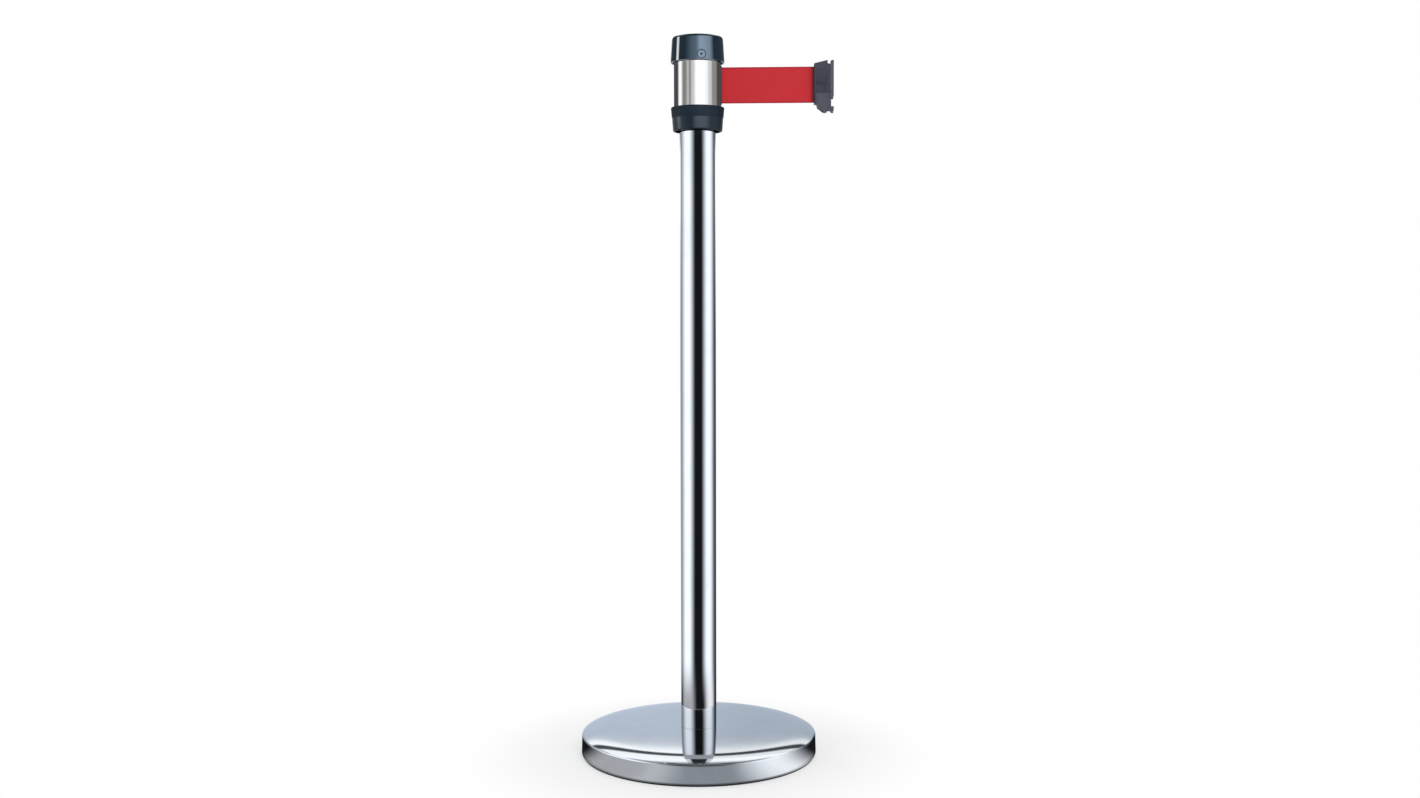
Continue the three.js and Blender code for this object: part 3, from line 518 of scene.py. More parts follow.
def weave(along, across, rib, pick, half_width, edge):
    """Flat woven webbing: long ribs over cross threads, with denser edges."""
    ribs = maths("DIVIDE", across, rib)
    shift = maths("MULTIPLY", maths("FLOORED_MODULO", maths("FLOOR", ribs), 2.0), 0.5)
    picks = maths("ADD", maths("DIVIDE", along, pick), shift)
    rib_round, pick_round = (
        maths("SINE", maths("MULTIPLY", maths("FRACT", threads), math.pi)) for threads in (ribs, picks)
    )
    crowned = maths("MULTIPLY", maths("POWER", rib_round, 0.6), raised(0.45, pick_round, 0.55))
    inward = maths("SUBTRACT", half_width, maths("ABSOLUTE", across))
    rim = ranged(inward, maths("MULTIPLY", edge, 1.15), maths("MULTIPLY", edge, 0.85))
    return rim, crowned, ranged(crowned, 0.1, 0.9, smooth=False)


# Each effect: what builds it, its inputs with their usual values, and its outputs
EFFECTS = {
    "Polish marks": (
        polish_marks,
        {"Position": None, "Along": 30.0, "Across": 2500.0, "Patch size": 14.0},
        ("Mask", "Height"),
    ),
    "Smudges": (smudges, {"Position": None, "Size": 22.0, "Fine size": 180.0}, ("Mask",)),
    "Moulded grain": (moulded_grain, {"Position": None, "Grain": 2200.0, "Flow": 60.0}, ("Mask", "Height")),
    "Settled dust": (settled_dust, {"Position": None, "Grains": 1400.0, "Amount": 0.5}, ("Mask",)),
    "Webbing weave": (
        weave,
        {"Along": 0.0, "Across": 0.0, "Rib": 0.001, "Pick": 0.001, "Half width": 0.024, "Edge": 0.002},
        ("Edge", "Height", "Shade"),
    ),
}


def effect(name):
    """The shader group of an effect, built at its first use."""
    tree = bpy.data.node_groups.get(name)
    if tree:
        return tree
    build, inputs, outputs = EFFECTS[name]
    tree = bpy.data.node_groups.new(name, "ShaderNodeTree")
    for label, usual in inputs.items():
        kind = "NodeSocketVector" if usual is None else "NodeSocketFloat"
        socket = tree.interface.new_socket(label, in_out="INPUT", socket_type=kind)
        if usual is not None:
            socket.default_value = usual
    for label in outputs:
        tree.interface.new_socket(label, in_out="OUTPUT", socket_type="NodeSocketFloat")
    given, out = put(tree, "NodeGroupInput").outputs, put(tree, "NodeGroupOutput").inputs
    for label, value in zip(outputs, build(*(given[label] for label in inputs))):
        give(out[label], value)
    return tree


class Finish:
    """One material under construction: its shader and the position that its effects read."""

    def __init__(self, name, **shader):
        self.material = bpy.data.materials.new(name)
        tree = cleared(self.material)
        self.shader = put(tree, "ShaderNodeBsdfPrincipled", **shader)
        put(tree, "ShaderNodeOutputMaterial", Surface=self.shader.outputs["BSDF"])
        self.position = put(tree, "ShaderNodeTexCoord").outputs["Object"]

    def group(self, name, **inputs):
        """Places an effect with this material's values; gives its outputs."""
        node = put(self.shader.id_data, "ShaderNodeGroup", node_tree=effect(name), **inputs)
        if "Position" in node.inputs:
            give(node.inputs["Position"], self.position)
        return node.outputs

    def feed(self, **values):
        """Gives the shader's inputs their values by name."""
        for key, value in values.items():
            give(self.shader.inputs[key.replace("_", " ")], value)

    def relief(self, height, depth_mm):
        """A bump of a real depth, laid over any before it."""
        bump = put(self.shader.id_data, "ShaderNodeBump", Distance=depth_mm * MM, Height=height)
        for link in self.shader.inputs["Normal"].links:
            give(bump.inputs["Normal"], link.from_socket)
        self.feed(Normal=bump.outputs["Normal"])


def polished_steel(name, colour, gloss, along, across):
    """Mirror-polished stainless steel with faint polishing lines and wiped patches."""
    finish = Finish(name, Metallic=1.0)
    marks = finish.group("Polish marks", Along=along, Across=across)
    wiped = finish.group("Smudges")["Mask"]
    dust = finish.group("Settled dust", Amount=0.35)["Mask"]
    rough = raised(raised(gloss, marks["Mask"], 0.015), wiped, 0.02)
    finish.feed(Roughness=raised(rough, dust, 0.3), Base_Color=mixed(wiped, colour, tinted(colour, 0.93)))
    finish.relief(marks["Height"], 0.0002)
    return finish.material


def plain_steel(name, colour, roughness):
    """Machined or plated steel with turning marks and dull patches."""
    finish = Finish(name, Metallic=1.0)
    marks = finish.group("Polish marks", Along=900.0, Across=120.0, Patch_size=90.0)
    dull = finish.group("Smudges", Size=120.0, Fine_size=900.0)["Mask"]
    finish.feed(Roughness=raised(roughness, dull, 0.16), Base_Color=mixed(dull, colour, tinted(colour, 0.72)))
    finish.relief(marks["Height"], 0.004)
    return finish.material


def gloss_moulding(name, colour):
    """Glossy black moulding with a faint skin, handling patches and dust on top."""
    finish = Finish(name, IOR=1.6, Coat_Weight=1.0, Coat_Roughness=0.04, Coat_IOR=1.5)
    skin = finish.group("Moulded grain", Grain=420.0, Flow=35.0)
    hairlines = finish.group("Polish marks", Along=900.0, Across=140.0, Patch_size=40.0)
    handled = finish.group("Smudges", Size=34.0, Fine_size=300.0)["Mask"]
    dust = finish.group("Settled dust", Amount=0.6)["Mask"]
    dusty = mixed(dust, colour, tinted(colour, 1.0, 0.05))
    finish.feed(
        Roughness=raised(raised(0.045, handled, 0.05), dust, 0.35),
        Base_Color=mixed(maths("MULTIPLY", skin["Mask"], 0.5), dusty, tinted(colour, 1.3)),
    )
    finish.relief(skin["Height"], 0.0008)
    finish.relief(hairlines["Height"], 0.0003)
    return finish.material


def satin_moulding(name, colour, roughness, grain, depth, shine, rubbed=-0.10, painted_light_and_shade=None):
    """Satin moulding with a fine grained skin, rubbed smoother in patches.

    The roughness is a number or a function of the position; the last argument, a function of the position
    and the varied colour, gives the colour under the dust, with its painted light and shade."""
    finish = Finish(name, IOR=1.48, Specular_IOR_Level=shine)
    skin = finish.group("Moulded grain", Grain=grain, Flow=55.0)
    handled = finish.group("Smudges", Size=60.0, Fine_size=500.0)["Mask"]
    dust = finish.group("Settled dust", Amount=0.7)["Mask"]
    if callable(roughness):
        roughness = roughness(finish.position)
    shown = mixed(maths("MULTIPLY", skin["Mask"], 0.6), colour, tinted(colour, 1.16, 0.001))
    if painted_light_and_shade:
        shown = painted_light_and_shade(finish.position, shown)
    finish.feed(
        Roughness=raised(raised(roughness, handled, rubbed), dust, 0.3),
        Base_Color=mixed(dust, shown, tinted(colour, 1.0, 0.06)),
    )
    finish.relief(skin["Height"], depth)
    return finish.material


def clip_moulding(name, colour, plate_light):
    """The clip's satin moulding, with painted light on its front plate and painted shade in the belt's mouth.
    """
    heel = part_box("clip_body")[0].x
    mouth, plate = (0.3 * MM, 1.2 * MM), (18.0 * MM, 19.5 * MM)

    def painted_light_and_shade(position, shown):
        x = part(position, "X")
        # Painted light: the front plate and the groove beside it are drawn paler, as where light falls on
        # them
        plated = mixed(ranged(x, heel + plate[0], heel + plate[1]), shown, plate_light)
        # Painted shade: near black in the belt's mouth at the clip's heel, where the belt shades it
        return mixed(ranged(x, heel + mouth[0], heel + mouth[1]), [0.003] * 3, plated)

    return satin_moulding(name, colour, 0.5, 2400.0, 0.008, 0.25, painted_light_and_shade=painted_light_and_shade)


def collar_moulding(name, colour):
    """Satin black moulding, smoother on its lower band than on the textured rim over it."""
    step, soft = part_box("collar")[0].z + 18.0 * MM, 0.4 * MM

    def roughness(position):
        return ranged(part(position, "Z"), step - soft, step + soft, 0.36, 0.66)

    return satin_moulding(name, colour, roughness, 2600.0, 0.005, 0.2, rubbed=-0.02)


def rubber(name, colour):
    """Matt rubber with a dusty, slightly pitted face."""
    finish = Finish(name, IOR=1.5)
    skin = finish.group("Moulded grain", Grain=900.0, Flow=40.0)
    dust = finish.group("Settled dust", Amount=1.0)["Mask"]
    paler = maths("MAXIMUM", maths("MULTIPLY", skin["Mask"], 0.4), dust)
    finish.feed(
        Roughness=raised(0.78, skin["Mask"], 0.12), Base_Color=mixed(paler, colour, tinted(colour, 1.0, 0.03))
    )
    finish.relief(skin["Height"], 0.05)
    return finish.material


def cast_iron(name, colour):
    """Rough sand casting under dark paint, with bare rubbed spots."""
    finish = Finish(name, IOR=1.5)
    sand = finish.group("Moulded grain", Grain=700.0, Flow=25.0)
    bare = maths("MULTIPLY", finish.group("Smudges", Size=30.0, Fine_size=420.0)["Mask"], 0.55)
    finish.feed(
        Base_Color=mixed(bare, colour, tinted(colour, 3.2)),
        Metallic=maths("MULTIPLY", bare, 0.8),
        Roughness=raised(0.62, sand["Mask"], 0.2),
    )
    finish.relief(sand["Height"], 0.35)
    return finish.material


def felt(name, colour):
    """Pressed wool fibres."""
    finish = Finish(name, Roughness=1.0, Sheen_Weight=0.4, Sheen_Roughness=0.6)
    fibres = finish.group("Polish marks", Along=1500.0, Across=5200.0, Patch_size=300.0)
    finish.feed(Base_Color=mixed(fibres["Mask"], colour, tinted(colour, 1.6)))
    finish.relief(fibres["Height"], 0.15)
    return finish.material


def webbing(name, belt, wound):
    """Polyester webbing, read along X, or round the drum's axis where it is wound, with painted shade beside
    the clip.
    """
    finish = Finish(
        name, Roughness=0.75, IOR=1.4, Sheen_Weight=0.08, Sheen_Roughness=0.5, Sheen_Tint=(1.0, 0.35, 0.35)
    )
    low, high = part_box("belt_tape")
    across = maths("SUBTRACT", part(finish.position, "Z"), (low.z + high.z) / 2)
    along = part(finish.position, "X")
    if wound:
        axis, mean_radius = middle_mm("drum") * MM, 18.0 * MM
        y = maths("SUBTRACT", part(finish.position, "Y"), axis.y)
        along = maths("MULTIPLY", maths("ARCTAN2", y, maths("SUBTRACT", along, axis.x)), mean_radius)
    threads = finish.group(
        "Webbing weave", Along=along, Across=across, Rib=belt.rib, Pick=belt.pick,
        Half_width=(high.z - low.z) / 2, Edge=belt.edge,
    )
    fade = finish.group("Smudges", Size=16.0, Fine_size=260.0)["Mask"]
    shown = mixed(threads["Shade"], tinted(belt.colour, 0.80), tinted(belt.colour, 1.1))
    shown = mixed(maths("MULTIPLY", fade, 0.5), shown, tinted(belt.colour, 0.9, 0.008))
    shown = mixed(maths("MULTIPLY", threads["Edge"], 0.75), shown, belt.selvedge)
    # Painted shade: the stretch beside the clip turns dark, read from the clip's own place so that it stays
    # beside it in every pose
    clip, handled = nodes["clip_body"], 9.0 * MM
    mouth = (clip.matrix_world.inverted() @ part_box("clip_body")[0]).x
    from_clip = put(finish.shader.id_data, "ShaderNodeTexCoord", object=clip).outputs["Object"]
    close = ranged(part(from_clip, "X"), mouth - handled, mouth, smooth=False)
    finish.feed(Base_Color=mixed(maths("POWER", close, 2.2), shown, belt.clip_shade))
    finish.relief(threads["Height"], 0.10)
    return finish.material


MATERIALS = {}


def finish_of(name):
    """Each finish, made once and shared by the pieces that have it."""
    if name not in MATERIALS:
        scene = bpy.context.scene
        metal, plastic, belt = scene.stanchion_metal, scene.stanchion_plastic, scene.stanchion_belt
        # Each finish's maker and its settings: a moulding has colour, roughness, grain, relief and shine
        makers = {
            "Cover steel": (polished_steel, metal.cover, metal.gloss, 40.0, 60.0),
            "Post steel": (polished_steel, metal.polished, metal.gloss, 14.0, 1300.0),
            "Sleeve steel": (polished_steel, metal.polished, metal.gloss + 0.03, 900.0, 60.0),
            "Plain steel": (plain_steel, metal.plain, 0.36),
            "Spring steel": (plain_steel, metal.spring, 0.28),
            "Cast plug": (plain_steel, metal.plain, 0.5),
            "Black screw": (plain_steel, tinted(metal.plain, 0.08), 0.4),
            "Painted iron": (cast_iron, metal.iron),
            "Pad rubber": (rubber, plastic.rubber),
            "Cap gloss": (gloss_moulding, plastic.cap),
            "Collar satin": (collar_moulding, plastic.collar),
            "Cassette satin": (satin_moulding, plastic.inner, 0.45, 2200.0, 0.012, 0.5),
            "Nylon": (satin_moulding, plastic.nylon, 0.45, 1500.0, 0.008, 0.5),
            "Clip satin": (clip_moulding, plastic.clip, plastic.plate_light),
            "Latch satin": (satin_moulding, plastic.latch, 0.5, 2400.0, 0.008, 0.25),
            "Brake felt": (felt, plastic.felt),
            "Belt webbing": (webbing, belt, False),
            "Wound webbing": (webbing, belt, True),
        }
        maker, *settings = makers[name]
        MATERIALS[name] = maker(name, *settings)
    return MATERIALS[name]


# Studio

# Height of the far screen's lower and upper edge, and the colour of the dark cloth between the boards
FAR_LOW, FAR_HIGH = -1.3, 1.75
CLOTH = (0.012, 0.013, 0.015)
WHITE = (1.0, 1.0, 1.0)


def area_lamp(name, azimuth, away, height, size, power, aim, colour=WHITE):
    """A lamp at an angle from the camera's side, aimed at a place, and never seen itself."""
    data = bpy.data.lights.new(name, "AREA")
    data.shape = "RECTANGLE"
    data.size, data.size_y = size
    data.energy = power
    data.color = colour
    lamp = bpy.data.objects.new(name, data)
    bpy.context.scene.collection.objects.link(lamp)
    angle = math.radians(azimuth) + bpy.context.scene.stanchion_studio.turn
    lamp.location = (math.sin(angle) * away, -math.cos(angle) * away, height)
    lamp.rotation_euler = (Vector(aim) - lamp.location).to_track_quat("-Z", "Y").to_euler()
    lamp.visible_camera = False
    return lamp


def bearing(place):
    """Degrees round the post from the camera's side, positive to its right."""
    turn = bpy.context.scene.stanchion_studio.turn
    level = put(place.id_data, "ShaderNodeVectorRotate", rotation_type="Z_AXIS", Vector=place, Angle=-turn)
    x, y = (part(level.outputs[0], axis) for axis in "XY")
    return maths("DEGREES", maths("ARCTAN2", x, maths("MULTIPLY", y, -1.0)))


def past(azimuth, middle):
    """Degrees from a middle bearing to another one, from -180 to 180."""
    return maths("WRAP", maths("SUBTRACT", azimuth, middle), 180.0, -180.0)


def panels(azimuth, room, boards):
    """Light boards stood round the object, each (middle, half width, soft edge, colour), in degrees."""
    total = room
    for middle, half, soft, colour in boards:
        share = ranged(maths("ABSOLUTE", past(azimuth, middle)), half, half + soft, 1.0, 0.0)
        total = vector_maths("ADD", vector_maths("SCALE", colour, share), total)
    return total


def behind(azimuth, level):
    """How far a place on the screen is the room behind the object: narrow low down, wide higher up."""
    narrow, wide, soft = 18.0, 30.0, 15.0
    half = ranged(level, 0.50, 0.75, narrow, wide)
    share = maths("DIVIDE", maths("SUBTRACT", maths("ABSOLUTE", past(azimuth, 180.0)), half), soft)
    return maths("SUBTRACT", 1.0, ranged(share, 0.0, 1.0))


def backdrop(azimuth, level):
    """The room behind the object by height: pale floor, blue wall, its bright top, a gap, white ceiling."""
    ramp = put(azimuth.id_data, "ShaderNodeValToRGB", Fac=ranged(level, FAR_LOW, FAR_HIGH, smooth=False))
    stops = (
        (FAR_LOW, (0.85, 0.87, 0.90)),
        (-0.2, (0.76, 0.82, 0.90)),
        (0.1, (0.66, 0.75, 0.87)),
        (0.64, (0.66, 0.75, 0.87)),
        (0.86, (0.93, 0.97, 1.0)),
        (1.02, WHITE),
        (1.09, (0.06, 0.07, 0.08)),
        (1.28, (0.06, 0.07, 0.08)),
        (1.42, WHITE),
        (FAR_HIGH, WHITE),
    )
    elements = ramp.color_ramp.elements
    while len(elements) < len(stops):
        elements.new(0.5)
    for element, (height, colour) in zip(elements, stops):
        element.position = (height - FAR_LOW) / (FAR_HIGH - FAR_LOW)
        element.color = (*colour, 1.0)
    bright = ranged(level, 0.72, 0.95, 1.0, 1.5)
    side = ranged(past(azimuth, 180.0), -5.0, 3.0, 0.83, 0.98)
    return vector_maths("SCALE", ramp.outputs[0], maths("MULTIPLY", bright, side))


def far_boards(azimuth, level):
    """Side boards for the post, dimmer ones low down for the base, and the room behind the object."""
    low = panels(azimuth, CLOTH, [(-75, 25, 40, (0.58, 0.59, 0.61)), (80, 8, 44, (1.28, 1.30, 1.32))])
    sides = [
        (-72, 11, 46, (1.62, 1.69, 1.80)),
        (-140, 20, 25, (0.40, 0.44, 0.49)),
        (73, 8, 44, (1.59, 1.67, 1.78)),
        (120, 6, 20, (0.14, 0.165, 0.20)),
    ]
    lean, low_end, ceiling_start = (-0.38, 0.9), (-0.44, -0.30), (1.09, 1.20)
    leaning = maths("ADD", azimuth, ranged(level, *lean, 5.5, 0.0, smooth=False))
    drawn = mixed(ranged(level, *low_end), low, panels(leaning, CLOTH, sides))
    drawn = mixed(ranged(level, *ceiling_start), drawn, (0.74, 0.77, 0.80))
    return mixed(behind(azimuth, level), drawn, backdrop(azimuth, level))


def near_boards(azimuth, level):
    """Boards that the sleeve shows, over them the ones for the cap's side, and a dim one for its crown."""
    sleeve = [
        (-90, 2, 18, (1.6, 1.59, 1.57)),
        (-48, 28, 10, (0.27, 0.26, 0.24)),
        (-46, 2, 9, (0.42, 0.40, 0.36)),
        (-21, 6, 8, (0.55, 0.55, 0.55)),
        (17, 23, 14, (1.3, 1.3, 1.3)),
        (13, 12, 19, (0.4, 0.4, 0.4)),
        (57, 6, 13, (0.90, 0.89, 0.87)),
        (86, 9, 14, (0.34, 0.29, 0.24)),
    ]
    cap = [(-92, 4, 6, (5.0, 5.0, 5.0)), (32, 17, 25, (1.7, 2.2, 2.75)), (0, 10, 48, (0.66, 0.93, 1.22))]
    crown = [(32, 17, 25, (0.55, 0.66, 0.80))]
    cap_start, crown_start = (0.988, 0.998), (1.050, 1.070)
    drawn = panels(azimuth, (0.10, 0.10, 0.105), sleeve)
    drawn = mixed(ranged(level, *cap_start), drawn, panels(azimuth, (0.07, 0.11, 0.13), cap))
    return mixed(ranged(level, *crown_start), drawn, panels(azimuth, (0.10, 0.12, 0.14), crown))


class StanchionStage(bpy.types.Operator):
    """Makes the camera, the floor, the lamps and the studio's light"""

    bl_idname = "stanchion.stage"
    bl_label = "Stage"

    def execute(self, context):
        studio = context.scene.stanchion_studio
        self.camera(context, studio)
        self.floor(studio)
        self.screen("Far screen", 2.0, (FAR_LOW, FAR_HIGH), 180.0, far_boards, studio)
        self.screen("Near screen", 0.3, (0.895, 1.20), 150.0, near_boards, studio)
        self.lamps(studio)
        self.world(context, studio)
        context.scene.view_settings.view_transform = "Standard"
        return {"FINISHED"}

    def camera(self, context, studio):
        """The camera at the photograph's place, aimed with its heading, pitch and roll."""
        data = bpy.data.cameras.new("Camera")
        data.sensor_fit = "HORIZONTAL"
        data.sensor_width = 36.0
        data.lens = data.sensor_width * studio.focal_share
        camera = bpy.data.objects.new("Camera", data)
        context.scene.collection.objects.link(camera)
        away = Vector((math.sin(studio.turn), -math.cos(studio.turn), 0.0)) * studio.distance
        heading = Matrix.Rotation(studio.turn - studio.aside, 4, "Z")
        tilt = Matrix.Rotation(math.pi / 2 - studio.pitch, 4, "X")
        place = Matrix.Translation(away + Vector((0.0, 0.0, studio.height)))
        camera.matrix_world = place @ heading @ tilt @ Matrix.Rotation(studio.roll, 4, "Z")
        context.scene.camera = camera

    def floor(self, studio):
        """A wide flat disc in rings, face up."""
        count, radii = 96, (400.0, 1500.0, 5000.0, 30000.0)
        points = [(0.0, 0.0, 0.0)]
        points += [(x, y, 0.0) for radius in radii for x, y in circle((0.0, 0.0), radius, count)]
        faces = [[0, 1 + k, 1 + (k + 1) % count] for k in range(count)]
        for ring in range(1, len(radii)):
            faces += band(count, 1 + (ring - 1) * count, 1 + ring * count)
        floor = new_piece("Floor", points, faces)
        if floor.data.polygons[0].normal.z < 0:
            floor.data.flip_normals()
        floor.data.materials.append(self.floor_paper(studio))

    def floor_paper(self, studio):
        """Pale paper that keeps the shadow near the object and turns plain white further out.

        Shiny faces see light boards on it close to the base, and further out they see through it."""
        material = bpy.data.materials.new("Floor paper")
        tree = cleared(material)
        position = put(tree, "ShaderNodeTexCoord").outputs["Object"]
        far = vector_maths("LENGTH", position)
        ray = put(tree, "ShaderNodeLightPath").outputs
        fibres = noise(position, scale=900.0, detail=2.0)
        colour = mixed(fibres, studio.floor, tinted(studio.floor, 0.985))
        paper = put(tree, "ShaderNodeBsdfDiffuse", Color=colour)
        white = put(tree, "ShaderNodeEmission", Color=WHITE, Strength=1.0)
        seen = maths("MULTIPLY", ranged(far, 0.16, 0.34, 0.55, 1.0), ray["Is Camera Ray"])
        shown = mixed_shaders(seen, paper.outputs[0], white.outputs[0])
        boards = [
            (-50, 17, 27, (0.60, 0.605, 0.62)),
            (55, 1, 36, (1.38, 1.40, 1.42)),
            (7, 17, 34, (0.385, 0.41, 0.435)),
        ]
        near = put(
            tree, "ShaderNodeEmission", Color=panels(bearing(position), CLOTH, boards),
            Strength=ranged(far, 0.160, 0.180, 0.35, 1.0),
        )
        clear = put(tree, "ShaderNodeBsdfTransparent")
        mirrored = mixed_shaders(ranged(far, 0.265, 0.285), near.outputs[0], clear.outputs[0])
        put(tree, "ShaderNodeOutputMaterial", Surface=mixed_shaders(ray["Is Glossy Ray"], shown, mirrored))
        return material

    def screen(self, name, reach, heights, half, boards, studio):
        """A round wall of boards that only shiny faces see, reaching half degrees to each side."""
        count, low, soft_foot = 128, heights[0], 0.017
        middle = math.degrees(studio.turn) - 90
        rim = arc((0.0, 0.0), reach / MM, middle - half, middle + half, count)
        points = [(x, y, z / MM) for z in heights for x, y in rim]
        faces = [[k, k + 1, count + 2 + k, count + 1 + k] for k in range(count)]
        screen = new_piece(name, points, faces)
        material = bpy.data.materials.new(f"{name} boards")
        tree = cleared(material)
        position = put(tree, "ShaderNodeTexCoord").outputs["Object"]
        level = part(position, "Z")
        glow = put(tree, "ShaderNodeEmission", Color=boards(bearing(position), level))
        clear = put(tree, "ShaderNodeBsdfTransparent")
        shown = mixed_shaders(ranged(level, low, low + soft_foot), clear.outputs[0], glow.outputs[0])
        put(tree, "ShaderNodeOutputMaterial", Surface=shown)
        screen.data.materials.append(material)
        for ray in ("camera", "diffuse", "shadow", "volume_scatter"):
            setattr(screen, f"visible_{ray}", False)

    def lamps(self, studio):
        """Three soft lamps, which shiny faces don't see."""
        for name, azimuth, away, height, size, share in (
            ("Front lamp", 14.0, 2.0, 1.5, (1.0, 0.8), 0.8),
            ("Left lamp", -78.0, 2.1, 1.5, (0.8, 1.6), 0.2),
            ("Top lamp", 170.0, 0.7, 2.7, (1.6, 1.2), 0.4),
        ):
            lamp = area_lamp(name, azimuth, away, height, size, studio.lamp * share, (0.04, 0.0, 0.7))
            lamp.visible_glossy = False

    def world(self, context, studio):
        """White for the camera, a drawn sky for shiny faces and even light for the rest."""
        world = bpy.data.worlds.new("Studio")
        context.scene.world = world
        tree = cleared(world)
        direction = put(tree, "ShaderNodeTexCoord").outputs["Generated"]
        azimuth, up = bearing(direction), part(direction, "Z")
        sky = panels(azimuth, (0.05, 0.05, 0.055), [(180, 95, 25, (1.5, 1.5, 1.52))])
        over = panels(azimuth, (0.10, 0.10, 0.105), [(180, 95, 25, (0.46, 0.47, 0.50))])
        sky = mixed(ranged(up, 0.76, 0.84), sky, over)
        sky = mixed(ranged(up, 0.92, 0.96), sky, (0.12, 0.12, 0.13))
        sky = mixed(ranged(up, -0.1, 0.1), (0.85, 0.87, 0.90), sky)
        ray = put(tree, "ShaderNodeLightPath").outputs
        shiny = maths("ADD", ray["Is Glossy Ray"], ray["Is Transmission Ray"], clamp=True)
        seen = maths("ADD", ray["Is Camera Ray"], shiny, clamp=True)
        shown = put(tree, "ShaderNodeBackground", Color=mixed(shiny, WHITE, sky), Strength=1.0)
        even = put(tree, "ShaderNodeBackground", Color=WHITE, Strength=studio.ambient)
        put(tree, "ShaderNodeOutputWorld", Surface=mixed_shaders(seen, even.outputs[0], shown.outputs[0]))


# Pieces


def facets():
    """Facets round each turned piece."""
    return bpy.context.scene.stanchion_shape.sides


def edge_mm():
    """Rounding of the mouldings' edges."""
    return bpy.context.scene.stanchion_shape.edge_round / MM


class StanchionBase(bpy.types.Operator):
    """Makes the steel base cover and the rubber pad"""

    bl_idname = "stanchion.base"
    bl_label = "Base"

    def execute(self, context):
        self.cover()
        self.pad()
        return {"FINISHED"}

    def cover(self):
        """Drawn sheet: from the rolled hem up the side and over the shoulder and dome to the bolt's hole."""
        low, high = box_mm("base_cover")
        radius, foot, top = radius_mm("base_cover"), low.z, high.z
        sheet, hem, bolt_hole, crown = 1.0, 3.0, 6.8, 30.0
        side = radius - 0.6
        shoulder, dome = (radius - 3.7, top - 7.4), (radius - 32.0, top - 2.4)
        outside = arc((radius - hem, foot + hem), hem, -90, 0, 8)
        outside += bend((side, top - 10.2), (side, top - 8.43), shoulder, 10)
        outside += bend(shoulder, (radius - 13.2, top - 3.72), dome, 16)[1:]
        outside += bend(dome, (dome[0] * 0.65 + crown * 0.35, top - 0.05), (crown, top), 16)[1:]
        outside.append((bolt_hole, top))
        piece = turned("base_cover_steel", outside + beside(outside, sheet)[::-1], facets())
        fitted(piece, "Cover steel", "base_cover", HEAD)

    def pad(self):
        """Rubber disc with softened edges."""
        low, high = box_mm("floor_pad")
        radius = radius_mm("floor_pad")
        profile = [(0.0, low.z), (radius - 1.0, low.z), (radius, low.z + 0.5), (radius, high.z - 0.3)]
        profile += [(radius - 0.4, high.z), (0.0, high.z)]
        piece = turned("floor_pad_rubber", profile, facets())
        fitted(piece, "Pad rubber", "floor_pad", HEAD)


class StanchionPost(bpy.types.Operator):
    """Makes the polished post tube"""

    bl_idname = "stanchion.post"
    bl_label = "Post"

    def execute(self, context):
        low, high = box_mm("post_tube")
        outer, wall = radius_mm("post_tube"), 1.2
        profile = [(outer - wall, low.z), (outer, low.z), (outer, high.z), (outer - wall, high.z)]
        edge = context.scene.stanchion_shape.sheet_round / MM
        piece = turned("post_tube_steel", corner_rounded(profile, edge), facets())
        fitted(piece, "Post steel", "post_tube", HEAD)
        return {"FINISHED"}


